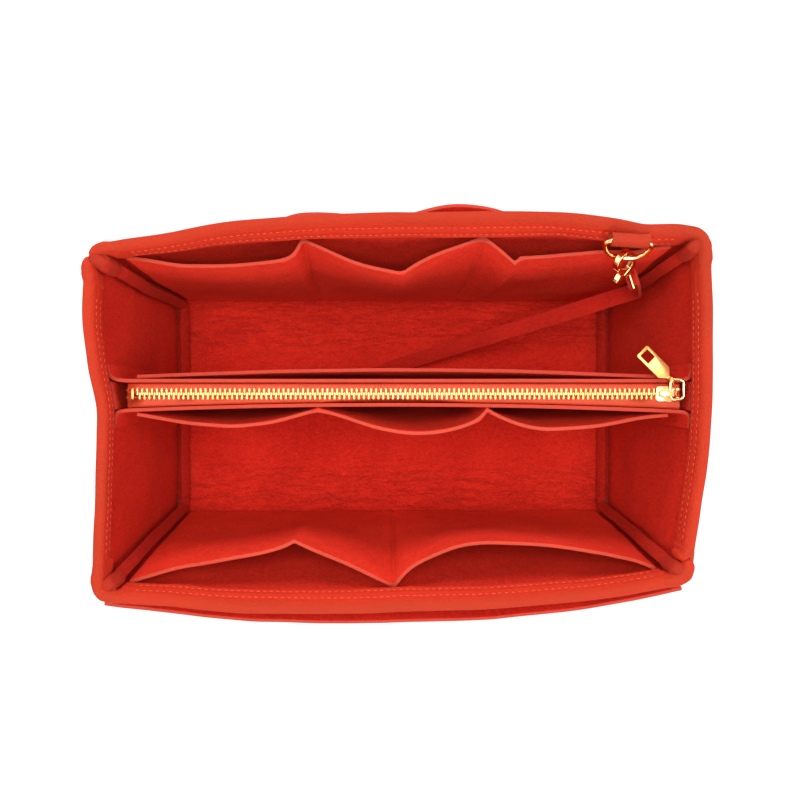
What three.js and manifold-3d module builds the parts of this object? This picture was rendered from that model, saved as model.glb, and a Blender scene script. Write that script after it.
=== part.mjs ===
// A felt purse organizer insert: an open box sewn from felt panels, with slip pockets, a zipped pouch
// that divides it, and a key strap that clips to a ring. Millimetres. X runs left to right, Y front to
// back and Z up. The origin is on the underside of the floor, at the floor's centre.
import * as THREE from 'three';
import Module from 'manifold-3d';

const wasm = await Module();
wasm.setup();

const mix = THREE.MathUtils.lerp;
const radians = THREE.MathUtils.degToRad;
const vec = (x, y, z) => new THREE.Vector3(x, y, z);

// Overall sizes, between the middle surfaces of the walls. The rim is wider than the floor, and its
// corners stand where the soft walls lean, in shares of half its length and half its width.
const height = 170;
const floorLength = 290;
const floorWidth = 145;
const rimLength = 304;
const rimWidth = 166;
const cornerShares = {
  back: { left: [-0.972, 0.899], right: [1.046, 0.928] },
  front: { left: [-0.952, -1.135], right: [0.978, -1.051] },
};

// Felt, the gap between sewn layers, and the folded hem round the rim.
const felt = 2;
const sewnGap = 0.35;
const layer = felt + sewnGap;
const hemDepth = 21;
const hemRadius = 2.3;
const floorRadius = 10;

// How far each wall bulges at the rim, and how the bulge grows with height.
const backBulge = 22;
const frontBulge = 12;
const rightBulge = 6.8;
const leftBackBulge = 6;
const leftFrontBulge = 2.5;
const faceGrowthShare = 2.4;
const faceCurveShares = { backLeft: 3, backRight: 5, front: 3 };
const sideCurveShare = 1.5;

// Seams: the felt turned in at each corner, and the strip folded over it.
const seamAllowance = 8;
const seamBend = 1.3;
const binding = 0.7;
const cornerClear = 11;

// Slip pockets, each as wide as its seams allow: gape is how far its mouth stands open.
const innerPocketTop = height - hemDepth - layer;
const mouthGrowthShare = 1.3;
const backMouth = {
  shares: [
    0.062, 0.126, 0.196, 0.25, 0.3, 0.318, 0.333, 0.39, 0.433, 0.475, 0.505, 0.526, 0.57,
    0.605, 0.644, 0.669, 0.698, 0.708, 0.762, 0.849, 0.915,
  ],
  gapes: [
    2.3, 7.6, 11, 11.4, 10.2, 7.6, 0, 8.3, 13.8, 16.6, 18.4, 14, 7.4, 3.8, 0, 5.6, 13.4, 10.8, 9.4,
    5, 2.2,
  ],
};
const frontMouth = {
  shares: [
    0.095, 0.13, 0.168, 0.214, 0.259, 0.302, 0.32, 0.335, 0.395, 0.44, 0.47, 0.5, 0.516, 0.538,
    0.583, 0.635, 0.686, 0.73, 0.777, 0.82, 0.867, 0.93,
  ],
  gapes: [
    6.5, 9.4, 12, 15, 17.6, 21, 24, 21.8, 14.6, 8.8, 4.4, 0, 6.3, 11.7, 17.3, 21.4, 21.2, 19.8, 18, 15.5,
    12.3, 6,
  ],
};
const outerBackSeamShares = [0.25, 0.475, 0.73];
const outerBackGapes = [4, 9, 12, 4];
const outerFrontGape = 13;
const outerFrontEndGape = 8;
const outerMouthShare = 0.8;
const outerGrowthShare = 1.5;
const outerOverhang = 3;

// The zipped pouch across the middle, its chain straight along X.
const chainY = 6.6;
const chainDepth = 23;
const chainZ = height - chainDepth;
const dividerTop = height - hemDepth - sewnGap * 2;
const dividerBottom = 12;
const pocketDrop = 5.3;
const dividerPocketTop = dividerTop - pocketDrop;
const frontPanelY = -2.4;
const frontPanelBow = 3.3;
const backPanelY = 13.5;
const dividerBend = 4;
const dividerFlange = 9;
const wallSeat = 0.6;
const pouchEndBottom = 32;
const dividerGrowthShare = 0.6;
const dividerMouthShare = 1.2;
const dividerMouth = {
  shares: [
    0.086, 0.182, 0.257, 0.314, 0.341, 0.392, 0.446, 0.5, 0.553, 0.608, 0.644, 0.66, 0.6765,
    0.717, 0.763, 0.87, 0.945,
  ],
  gapes: [5.3, 8.3, 6.6, 2.2, 0, 4, 9.7, 12.6, 12.8, 9.8, 5.4, 0, 3, 7.6, 10, 7, 2],
};
const dividerBackGape = 3.6;
const pocketInset = { left: 7, front: 6, back: 12 };

// The zip: tapes, teeth on a cord, slider and pull.
const tape = 0.7;
const tapeMargin = { left: 1.99, right: 1.79 };
const chainMargin = { left: 5.5, right: 10 };
const tapeTurnDown = 6;
const toothPitch = 2.54;
const toothBack = 2.95;
const toothReach = 0.75;
const toothBackWidth = 1.2;
const toothHeadWidth = 1;
const toothBackHeight = 2.6;
const toothHeadHeight = 1.9;
const cordSize = 1;
const cordInset = 0.5;
const stopLength = 2;
const stopWidth = 1.5;
const slider = {
  length: 9.6,
  parked: 2.9,
  halfWidth: 3.9,
  lobe: 4.3,
  plate: 1.1,
  wall: 0.7,
  wedgeWidth: 2.2,
  channel: 3.4,
  tapeSlot: 1.3,
  bridgeStart: 0.6,
  bridgeEnd: 9.2,
  bridgeWidth: 2.6,
  bridgeHeight: 4.6,
  bridgeBar: 1.3,
};
const sliderShares = {
  waist: 0.45,
  lobe: 0.75,
  wedgeStart: 0.58,
  wedgeMiddle: 0.78,
  shoulder: 0.6,
  crown: 0.4,
  brow: 0.3,
};
const link = { wire: 1.7, length: 10.4, width: 7, corner: 2.2, below: 2.9 };
const pull = { length: 22, width: 8, thickness: 1.4, eyeWall: 1.1, eyeWidth: 2, window: 5.6, margin: 1.5 };
const runningGap = 0.35;
const wireSides = 8;
const weldSize = sewnGap / 100;

// The ring tab, the ring and the key strap's hooks.
const ringInset = 32.7;
const ringX = rimLength / 2 - ringInset;
const ringWire = 2.6;
const ringInnerWidth = 21.8;
const ringDrop = 15;
const ringHang = 63;
const ringTilt = 4;
const ringSlack = 1.7;
const ringCurveShare = 0.8;
const tabWidth = 19;
const tabTail = 4.4;
const tabLift = 36;
const tabSteps = 8;
const hook = {
  holeRadius: 4,
  bow: 2.2,
  thickness: 3,
  length: 12,
  base: 4.5,
  baseWidth: 8,
  gate: 1.8,
  lever: 9,
  yaw: 40,
  mouth: 6,
};
const leverShares = { thickness: 0.9, neck: 0.5, back: 0.55, tip: 0.62, toe: 0.2, heel: 1.6 };
const swivel = { wire: 2, bar: 11, drop: 11, stem: 2.6, collar: 5 };
const swivelShares = { side: 0.35, shoulder: 0.6 };
const hookLeanShares = [0.3843, -0.2264, -0.895];
const strapLeanShares = [-0.96, -0.28];
const strapWidth = 9.3;
const farStrapX = -62;
const farStrapY = 8;

// Places along the walls. A wall's columns run from its left end to its right end, and its rows from
// the floor's bend to the rim's bend. Layers in front of a wall use the same columns and rows.
const ends = { left: -1, right: 1 };
const faces = { front: -1, back: 1 };
const foldTop = felt / 2 + floorRadius;
const rimTurn = height - felt / 2 - hemRadius;

// Values that divide the spans between marks into the given counts of equal steps.
function divide(marks, counts) {
  const values = [marks[0]];
  counts.forEach((count, span) => {
    for (let step = 1; step <= count; step += 1) {
      values.push(mix(marks[span], marks[span + 1], step / count));
    }
  });
  return values;
}

// The value at a place on a curve that is drawn straight between the given stations.
function faceted(stations, curve, at) {
  const last = stations.length - 2;
  let span = 0;
  while (span < last && at > stations[span + 1]) span += 1;
  const from = stations[span];
  const to = stations[span + 1];
  return mix(curve(from), curve(to), (at - from) / (to - from));
}

const faceEndShare = cornerClear / rimLength;
const outerBackSeams = outerBackSeamShares.filter((share) => !backMouth.shares.includes(share));
const faceColumns = {
  back: [faceEndShare, ...backMouth.shares, ...outerBackSeams, 1 - faceEndShare].sort((a, b) => a - b),
  front: [faceEndShare, ...frontMouth.shares, 1 - faceEndShare],
};
const sideEndShare = cornerClear / rimWidth;
const pinchShare = 0.45;
const sideColumns = divide([sideEndShare, pinchShare, 1 - sideEndShare], [3, 4]);
const wallRows = divide([foldTop, innerPocketTop, rimTurn], [3, 1]);
const foldAngles = [60, 30, 0].map(radians);
const hemAngles = [60, 120, 180].map(radians);
const hemSteps = [0.5, 1];

// A point on a corner's line, from the floor's corner to the rim's.
function cornerPoint(face, end, z) {
  const [lengthShare, widthShare] = cornerShares[face][end];
  const rise = z / height;
  const x = mix(ends[end] * floorLength, lengthShare * rimLength, rise) / 2;
  const y = mix(faces[face] * floorWidth, widthShare * rimWidth, rise) / 2;
  return vec(x, y, z);
}

// The front or back wall's middle surface, moved into the box by depth.
const faceShape = {
  back: (share) => {
    const power = share < 0.5 ? faceCurveShares.backLeft : faceCurveShares.backRight;
    return backBulge * (1 - Math.abs(2 * share - 1) ** power);
  },
  front: (share) => frontBulge * (1 - Math.abs(2 * share - 1) ** faceCurveShares.front),
};
const growth = (z) => faceted([0, ...wallRows, height], (at) => (at / height) ** faceGrowthShare, z);
function wallPoint(face, share, z) {
  const left = cornerPoint(face, 'left', z);
  const right = cornerPoint(face, 'right', z);
  const bulge = faceted([0, ...faceColumns[face], 1], faceShape[face], share) * growth(z);
  const point = left.lerp(right, share);
  point.y += faces[face] * bulge;
  return point;
}
function facePoint(face, share, z, depth = 0) {
  const point = wallPoint(face, share, z);
  if (depth !== 0) {
    const shareStep = felt / rimLength;
    const run = shareStep * rimLength;
    const slopes = [-1, 1].map((way) => (wallPoint(face, share + way * shareStep, z).y - point.y) / run);
    const lean = (wallPoint(face, share, z - felt).y - point.y) / felt;
    const slope = Math.max(...slopes.map(Math.abs));
    point.y -= faces[face] * depth * Math.hypot(1, slope, lean);
  }
  return point;
}

// A side wall's middle surface at a place across its width, from back to front.
const sideShape = {
  right: (share) => rightBulge * (4 * share * (1 - share)) ** sideCurveShare,
  left: (share) => (share < pinchShare
    ? leftBackBulge * Math.sin(Math.PI * (share / pinchShare))
    : leftFrontBulge * Math.sin(Math.PI * ((share - pinchShare) / (1 - pinchShare)))),
};
function sideX(end, y, z) {
  const back = cornerPoint('back', end, z);
  const front = cornerPoint('front', end, z);
  const share = (back.y - y) / (back.y - front.y);
  const inside = THREE.MathUtils.clamp(share, 0, 1);
  const bulge = faceted([0, ...sideColumns, 1], sideShape[end], inside) * (z / height);
  return mix(back.x, front.x, share) + ends[end] * bulge;
}

// Felt of one thickness on one or more grids of middle points, which join where they share points.
// A missing point leaves its cells out. The free edges are closed.
function feltSolid(grids, thickness = felt) {
  const weld = thickness / 100;
  const points = [];
  const known = new Map();
  const indexOf = (point) => {
    const key = point.toArray().map((value) => Math.round(value / weld)).join();
    if (!known.has(key)) {
      known.set(key, points.length);
      points.push(point);
    }
    return known.get(key);
  };
  const cells = [];
  for (const grid of grids) {
    for (let row = 1; row < grid.length; row += 1) {
      for (let column = 1; column < grid[row].length; column += 1) {
        const ring = [
          grid[row - 1][column - 1],
          grid[row - 1][column],
          grid[row][column],
          grid[row][column - 1],
        ];
        if (ring.every(Boolean)) cells.push(ring.map(indexOf));
      }
    }
  }
  const normals = points.map(() => []);
  for (const cell of cells) {
    const [a, b, c, d] = cell.map((index) => points[index]);
    const normal = c.clone().sub(a).cross(d.clone().sub(b)).normalize();
    cell.forEach((index) => normals[index].push(normal));
  }
  const offsets = normals.map((list) => {
    const mean = list.reduce((sum, normal) => sum.add(normal), vec(0, 0, 0)).normalize();
    const spread = list.reduce((sum, normal) => sum + normal.dot(mean), 0) / list.length;
    return mean.multiplyScalar(thickness / 2 / Math.max(spread, 0.75));
  });
  const positions = [];
  points.forEach((point, index) => positions.push(...point.clone().add(offsets[index]).toArray()));
  points.forEach((point, index) => positions.push(...point.clone().sub(offsets[index]).toArray()));
  const under = points.length;
  const triangles = [];
  const edges = new Map();
  for (const [a, b, c, d] of cells) {
    triangles.push(a, b, c, a, c, d);
    triangles.push(under + c, under + b, under + a, under + d, under + c, under + a);
    [[a, b], [b, c], [c, d], [d, a]].forEach(([from, to]) => edges.set(`${from},${to}`, [from, to]));
  }
  for (const [from, to] of edges.values()) {
    if (!edges.has(`${to},${from}`)) {
      triangles.push(under + from, under + to, to, under + from, to, from);
    }
  }
  const geometry = new THREE.BufferGeometry();
  geometry.setAttribute('position', new THREE.Float32BufferAttribute(positions, 3));
  geometry.setIndex(triangles);
  return geometry;
}

// The frame of a corner seam: its corner point, the direction into each panel, and the direction
// in which both edges are turned in.
function seamFrame(corner, alongFace, alongSide) {
  const face = alongFace.clone().sub(corner).normalize();
  const side = alongSide.clone().sub(corner).normalize();
  const inward = face.clone().add(side).normalize();
  const across = face.clone().sub(side).normalize();
  return { corner, face, side, inward, across };
}

// The four middle points of a panel's turned-in edge, from its free edge to the panel.
function turnedEdge(frame, along) {
  const offset = layer / 2;
  const angle = along.angleTo(frame.inward);
  const tip = frame.corner.clone().addScaledVector(along, offset / Math.sin(angle));
  const tangent = seamBend / Math.tan(angle / 2);
  const onPanel = tip.clone().addScaledVector(along, tangent);
  const onEdge = tip.clone().addScaledVector(frame.inward, tangent);
  const freeEdge = tip.clone().addScaledVector(frame.inward, seamAllowance);
  const bisector = along.clone().add(frame.inward).normalize();
  const centre = tip.clone().addScaledVector(bisector, seamBend / Math.sin(angle / 2));
  const middle = centre.clone().addScaledVector(bisector, -seamBend);
  return [freeEdge, onEdge, middle, onPanel];
}

// The stations of one end's seam, down the back corner, along the floor and up the front corner.
// Each holds its seam frame and the wall's own row.
function seamStations(end) {
  const stations = [];
  const inset = cornerClear;
  const add = (corner, alongFace, inwardNormal) => {
    const alongSide = corner.clone().addScaledVector(inwardNormal, inset);
    alongSide.x = sideX(end, alongSide.y, alongSide.z);
    stations.push(seamFrame(corner, alongFace, alongSide));
  };
  const endShare = end === 'left' ? 0 : 1;
  const nextShare = (face) => (end === 'left' ? faceColumns[face][0] : faceColumns[face].at(-1));
  const wall = (face) => wallRows.map((z) => () => {
    const normal = vec(0, -faces[face], 0);
    add(facePoint(face, endShare, z), facePoint(face, nextShare(face), z), normal);
  });
  const fold = (face) => foldAngles.map((angle) => () => {
    const normal = vec(0, -faces[face] * Math.sin(angle), Math.cos(angle));
    add(foldPoint(face, endShare, angle), foldPoint(face, nextShare(face), angle), normal);
  });
  const floor = sideColumns.map((share) => () => {
    add(floorPoint(endShare, share), floorPoint(nextShare('back'), share), vec(0, 0, 1));
  });
  [...wall('back').reverse(), ...fold('back'), ...floor].forEach((place) => place());
  [...fold('front').reverse(), ...wall('front')].forEach((place) => place());
  return stations;
}

// The bend between floor and wall, and the floor itself.
function foldPoint(face, share, angle) {
  const point = facePoint(face, share, foldTop);
  point.y -= faces[face] * floorRadius * (1 - Math.sin(angle));
  point.z = felt / 2 + floorRadius * (1 - Math.cos(angle));
  return point;
}
function floorPoint(share, across) {
  const back = foldPoint('back', share, 0);
  const front = foldPoint('front', share, 0);
  return back.lerp(front, across);
}

// The hem's middle points above a wall's top row: over the rim and down inside it.
function hemPlaces() {
  const over = hemAngles.map((angle) => ({
    z: rimTurn + hemRadius * Math.sin(angle),
    depth: hemRadius * (1 - Math.cos(angle)),
  }));
  const down = hemSteps.map((step) => ({
    z: mix(rimTurn, height - hemDepth, step),
    depth: layer + (2 * hemRadius - layer) * Math.cos((Math.PI / 2) * step),
  }));
  return [...over, ...down];
}

// Front wall, floor and back wall in one piece.
function bodyWrap() {
  const seams = { left: seamStations('left'), right: seamStations('right') };
  const row = (station, points) => {
    const left = turnedEdge(seams.left[station], seams.left[station].face);
    const right = turnedEdge(seams.right[station], seams.right[station].face).reverse();
    return [...left, ...points, ...right];
  };
  const blank = [null, null, null, null];
  const hem = (face) => hemPlaces().map(({ z, depth }) => [
    ...blank,
    ...faceColumns[face].map((share) => facePoint(face, share, z, depth)),
    ...blank,
  ]);
  const rows = [...hem('back').reverse()];
  let station = 0;
  const next = (points) => {
    rows.push(row(station, points));
    station += 1;
  };
  [...wallRows].reverse().forEach((z) => next(faceColumns.back.map((s) => facePoint('back', s, z))));
  foldAngles.forEach((angle) => next(faceColumns.back.map((s) => foldPoint('back', s, angle))));
  const middle = Math.floor(sideColumns.length / 2);
  station += middle;
  next(faceColumns.back.map((share, column) => {
    const back = foldPoint('back', share, 0);
    return back.lerp(foldPoint('front', faceColumns.front[column], 0), sideColumns[middle]);
  }));
  station += sideColumns.length - 1 - middle;
  [...foldAngles].reverse().forEach((angle) => {
    next(faceColumns.front.map((s) => foldPoint('front', s, angle)));
  });
  wallRows.forEach((z) => next(faceColumns.front.map((s) => facePoint('front', s, z))));
  rows.push(...hem('front'));
  return feltSolid([rows]);
}

// One end of the box: a panel inside its seam's U, with the seam's edge turned in and a hem above.
function sidePanel(end) {
  const stations = seamStations(end);
  const edges = stations.map((frame) => turnedEdge(frame, frame.side));
  const down = wallRows.length + foldAngles.length;
  const across = (backPoint, frontPoint) => [
    backPoint,
    ...sideColumns.map((share) => {
      const point = backPoint.clone().lerp(frontPoint, share);
      point.x = sideX(end, point.y, point.z);
      return point;
    }),
    frontPoint,
  ];
  const inner = [];
  for (let step = 0; step < down - 1; step += 1) {
    inner.push(across(edges[step][3], edges[edges.length - 1 - step][3]));
  }
  inner.push(edges.slice(down - 1, edges.length - down + 1).map((edge) => edge[3]));
  const hem = hemPlaces().map(({ z, depth }) => [
    null,
    ...inner[0].slice(1, -1).map((point) => {
      return vec(sideX(end, point.y, z) - ends[end] * depth, point.y, z);
    }),
    null,
  ]);
  const grids = [[...hem.reverse(), ...inner], edges.map((edge) => [...edge].reverse())];
  const turned = end === 'left' ? grids : grids.map((grid) => grid.map((line) => [...line].reverse()));
  turned[1] = turned[1].map((line) => [...line].reverse());
  return feltSolid(turned);
}

// The strip folded over both turned-in edges of one end's seam.
function seamBinding(end) {
  const side = layer / 2 + felt / 2 + sewnGap + binding / 2;
  const rows = seamStations(end).map(({ corner, face, side: along, inward, across }) => {
    const half = face.angleTo(along) / 2;
    const tip = layer / 2 / Math.sin(half);
    const start = tip + seamBend / Math.tan(half / 2) + sewnGap;
    const reach = tip + seamAllowance + sewnGap + binding / 2;
    const at = (r, p) => corner.clone().addScaledVector(inward, r).addScaledVector(across, p);
    const rim = reach - binding;
    return [at(start, side), at(rim, side), at(reach, 0), at(rim, -side), at(start, -side)];
  });
  return feltSolid([rows], binding);
}

// How far a row of pockets stands open at a place along it, drawn straight between the mouth's marks.
function gapeAt(mouth, from, to, at) {
  const marks = [from, ...mouth.shares, to];
  const gapes = [0, ...mouth.gapes, 0];
  return faceted(marks, (mark) => gapes[marks.indexOf(mark)], at);
}

// The slip pockets on a wall's inner side, sewn down at their seams and along their foot.
function innerPockets(face, mouth) {
  const columns = faceColumns[face];
  const rows = wallRows.slice(0, -1).map((z) => columns.map((share) => {
    const open = gapeAt(mouth, columns[0], columns.at(-1), share);
    const rise = (z - foldTop) / (innerPocketTop - foldTop);
    return facePoint(face, share, z, layer + open * rise ** mouthGrowthShare);
  }));
  return feltSolid([face === 'back' ? rows.reverse() : rows]);
}

// The slip pockets on a wall's outer side, whose mouths bulge away from the wall.
function outerPockets(face, seamShares, gapes, endGape, overhang) {
  const columns = faceColumns[face];
  const marks = [columns[0], ...seamShares, columns.at(-1)];
  const open = (share) => {
    let pocket = 0;
    while (pocket < gapes.length - 1 && share > marks[pocket + 1]) pocket += 1;
    const place = (share - marks[pocket]) / (marks[pocket + 1] - marks[pocket]);
    const arch = Math.sin(Math.PI * THREE.MathUtils.clamp(place, 0, 1)) ** outerMouthShare;
    return mix(endGape, gapes[pocket], arch);
  };
  const shares = [-overhang / rimLength, ...columns, 1 + overhang / rimLength];
  const used = overhang > 0 ? shares : columns;
  const rows = wallRows.slice(0, -1).map((z) => used.map((share) => {
    const rise = (z - foldTop) / (innerPocketTop - foldTop);
    return facePoint(face, share, z, -layer - open(share) * rise ** outerGrowthShare);
  }));
  return feltSolid([face === 'back' ? rows.reverse() : rows]);
}

// The divider. Its panels lie across the box, their ends turned out along the side walls.
const dividerRows = divide([dividerBottom, dividerPocketTop, dividerTop], [3, 1]);
const dividerGrowth = (z) => {
  const share = (at) => ((at - dividerBottom) / (dividerTop - dividerBottom)) ** dividerGrowthShare;
  return faceted(dividerRows, share, z);
};
function panelY(side, x, z) {
  const along = x / (floorLength / 2);
  const front = frontPanelY + frontPanelBow * (1 - along * along);
  const top = side === 'front' ? front : backPanelY;
  return mix(chainY + faces[side] * (layer / 2), top, dividerGrowth(z));
}
const wallSeatDepth = felt / 2 + wallSeat + felt / 2;
const bendStart = (end, y, z) => sideX(end, y, z) - ends[end] * (wallSeatDepth + dividerBend);
const pocketSpan = (side, z) => [
  bendStart('left', chainY, z) + pocketInset.left,
  bendStart('right', chainY, z) - pocketInset[side],
];
function dividerXs(z) {
  const left = bendStart('left', chainY, z);
  const right = bendStart('right', chainY, z);
  const [pocketStart, frontEnd] = pocketSpan('front', z);
  const [, backEnd] = pocketSpan('back', z);
  const mouth = dividerMouth.shares.map((share) => mix(pocketStart, frontEnd, share));
  return [left, pocketStart, ...mouth, backEnd, frontEnd, right];
}
function dividerPanel(side) {
  const out = faces[side];
  const turn = (end, z) => {
    const inner = ends[end];
    const startX = bendStart(end, chainY, z);
    const y = panelY(side, startX, z);
    const diagonal = dividerBend * Math.SQRT1_2;
    const flangeY = y + out * dividerFlange;
    const flangeX = sideX(end, flangeY, z) - inner * wallSeatDepth;
    const bendY = y + out * dividerBend;
    const bendX = sideX(end, bendY, z) - inner * wallSeatDepth;
    return [
      vec(flangeX, flangeY, z),
      vec(bendX, bendY, z),
      vec(mix(startX, bendX, Math.SQRT1_2), y + out * (dividerBend - diagonal), z),
    ];
  };
  const rows = dividerRows.map((z) => [
    ...turn('left', z),
    ...dividerXs(z).map((x) => vec(x, panelY(side, x, z), z)),
    ...turn('right', z).reverse(),
  ]);
  return feltSolid([rows.reverse()]);
}

// Slip pockets on the divider, in front of its front panel or behind its back panel.
function dividerPockets(side, open) {
  const rows = dividerRows.slice(0, -1).map((z) => {
    const [from, to] = pocketSpan(side, z);
    const rise = (z - dividerBottom) / (dividerPocketTop - dividerBottom);
    return dividerXs(z).filter((x) => x >= from && x <= to).map((x) => {
      const depth = layer + open((x - from) / (to - from)) * rise ** dividerMouthShare;
      return vec(x, panelY(side, x, z) + faces[side] * depth, z);
    });
  });
  return feltSolid([rows.reverse()]);
}
const dividerFrontPockets = () => dividerPockets('front', (share) => gapeAt(dividerMouth, 0, 1, share));
const dividerBackPocket = () => dividerPockets('back', (share) => dividerBackGape * Math.sin(Math.PI * share));

// The strip that closes one end of the pouch, against the side wall.
function dividerEnd(end) {
  const rows = [pouchEndBottom, ...dividerRows.slice(1, -1), dividerTop].map((z) => {
    const edgeX = bendStart(end, chainY, z);
    const front = panelY('front', edgeX, z) + felt / 4;
    const back = panelY('back', edgeX, z) - felt / 4;
    return [front, (front + back) / 2, back].map((y) => {
      return vec(sideX(end, y, z) - ends[end] * wallSeatDepth, y, z);
    });
  });
  return feltSolid([rows.reverse()]);
}

// Where the tapes, the chain and the parked slider stand along X, between the pouch's ends.
const tapeLeft = bendStart('left', chainY, chainZ) + tapeMargin.left;
const tapeRight = bendStart('right', chainY, chainZ) - tapeMargin.right;
const chainStart = tapeLeft + chainMargin.left;
const chainEnd = tapeRight - chainMargin.right;
const sliderStart = tapeRight - slider.parked - slider.length;

// One tape of the zip, from the teeth out to its panel and down the panel's inner side.
function zipTape(side) {
  const out = faces[side];
  const xs = divide([tapeLeft, 0, tapeRight], [4, 4]);
  const rows = [chainZ - tapeTurnDown, chainZ - tape, chainZ, chainZ].map((z, place) => xs.map((x) => {
    const clear = felt / 2 + sewnGap + tape / 2;
    const seatX = THREE.MathUtils.clamp(x, tapeLeft, tapeRight);
    const atPanel = panelY(side, seatX, Math.min(z, dividerTop)) - out * clear;
    const innerY = chainY + out * (toothBack + sewnGap);
    const y = [atPanel, atPanel, atPanel - out * tape, innerY][place];
    return vec(x, y, z);
  }));
  return feltSolid([side === 'front' ? rows : rows.reverse()], tape);
}

// Manifold solids, for the pieces that are joined or cut.
function solidFrom(geometry) {
  const source = geometry.index ? geometry : geometry.clone();
  const flat = source.index ? source.toNonIndexed() : source;
  const known = new Map();
  const places = [];
  const corners = [];
  const positions = flat.getAttribute('position');
  for (let index = 0; index < positions.count; index += 1) {
    const point = vec(0, 0, 0).fromBufferAttribute(positions, index);
    const key = point.toArray().map((value) => Math.round(value / weldSize)).join();
    if (!known.has(key)) {
      known.set(key, places.length / 3);
      places.push(...point.toArray());
    }
    corners.push(known.get(key));
  }
  const triangles = [];
  for (let at = 0; at < corners.length; at += 3) {
    const [a, b, c] = corners.slice(at, at + 3);
    if (a !== b && b !== c && c !== a) triangles.push(a, b, c);
  }
  const mesh = new wasm.Mesh({
    numProp: 3,
    vertProperties: new Float32Array(places),
    triVerts: new Uint32Array(triangles),
  });
  return new wasm.Manifold(mesh);
}
function geometryFrom(solid) {
  const mesh = solid.getMesh();
  const places = [];
  for (let index = 0; index < mesh.numVert; index += 1) {
    places.push(...mesh.vertProperties.subarray(index * mesh.numProp, index * mesh.numProp + 3));
  }
  const geometry = new THREE.BufferGeometry();
  geometry.setAttribute('position', new THREE.Float32BufferAttribute(places, 3));
  geometry.setIndex(Array.from(mesh.triVerts));
  return geometry;
}
const join = (...geometries) => {
  const [first, ...rest] = geometries.map(solidFrom);
  return geometryFrom(rest.reduce((sum, solid) => sum.add(solid), first));
};

// An outline pushed straight along Z, its middle at z.
function prism(shape, depth, z = 0, curveSegments = 6) {
  const options = { depth, bevelEnabled: false, curveSegments };
  return new THREE.ExtrudeGeometry(shape, options).translate(0, 0, z - depth / 2);
}
const outline = (points) => new THREE.Shape(points.map(([x, y]) => new THREE.Vector2(x, y)));
const box = (x, y, z) => new THREE.BoxGeometry(x, y, z);

// A round wire round a closed flat loop of points; up is square to the loop.
function wireLoop(points, up, diameter, sides) {
  const count = points.length;
  const positions = [];
  points.forEach((point, index) => {
    const before = points[(index + count - 1) % count];
    const after = points[(index + 1) % count];
    const arriving = point.clone().sub(before).normalize();
    const leaving = after.clone().sub(point).normalize();
    const tangent = arriving.clone().add(leaving).normalize();
    const side = up.clone().cross(tangent).normalize();
    const stretch = 1 / leaving.dot(tangent);
    for (let step = 0; step < sides; step += 1) {
      const angle = (2 * Math.PI * (step + 0.5)) / sides;
      const offset = side.clone().multiplyScalar(Math.cos(angle) * stretch);
      offset.addScaledVector(up, Math.sin(angle)).multiplyScalar(diameter / 2);
      positions.push(...point.clone().add(offset).toArray());
    }
  });
  const triangles = [];
  for (let index = 0; index < count; index += 1) {
    const here = index * sides;
    const there = ((index + 1) % count) * sides;
    for (let step = 0; step < sides; step += 1) {
      const other = (step + 1) % sides;
      triangles.push(here + step, here + other, there + other, here + step, there + other, there + step);
    }
  }
  const geometry = new THREE.BufferGeometry();
  geometry.setAttribute('position', new THREE.Float32BufferAttribute(positions, 3));
  geometry.setIndex(triangles);
  return geometry;
}

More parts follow.
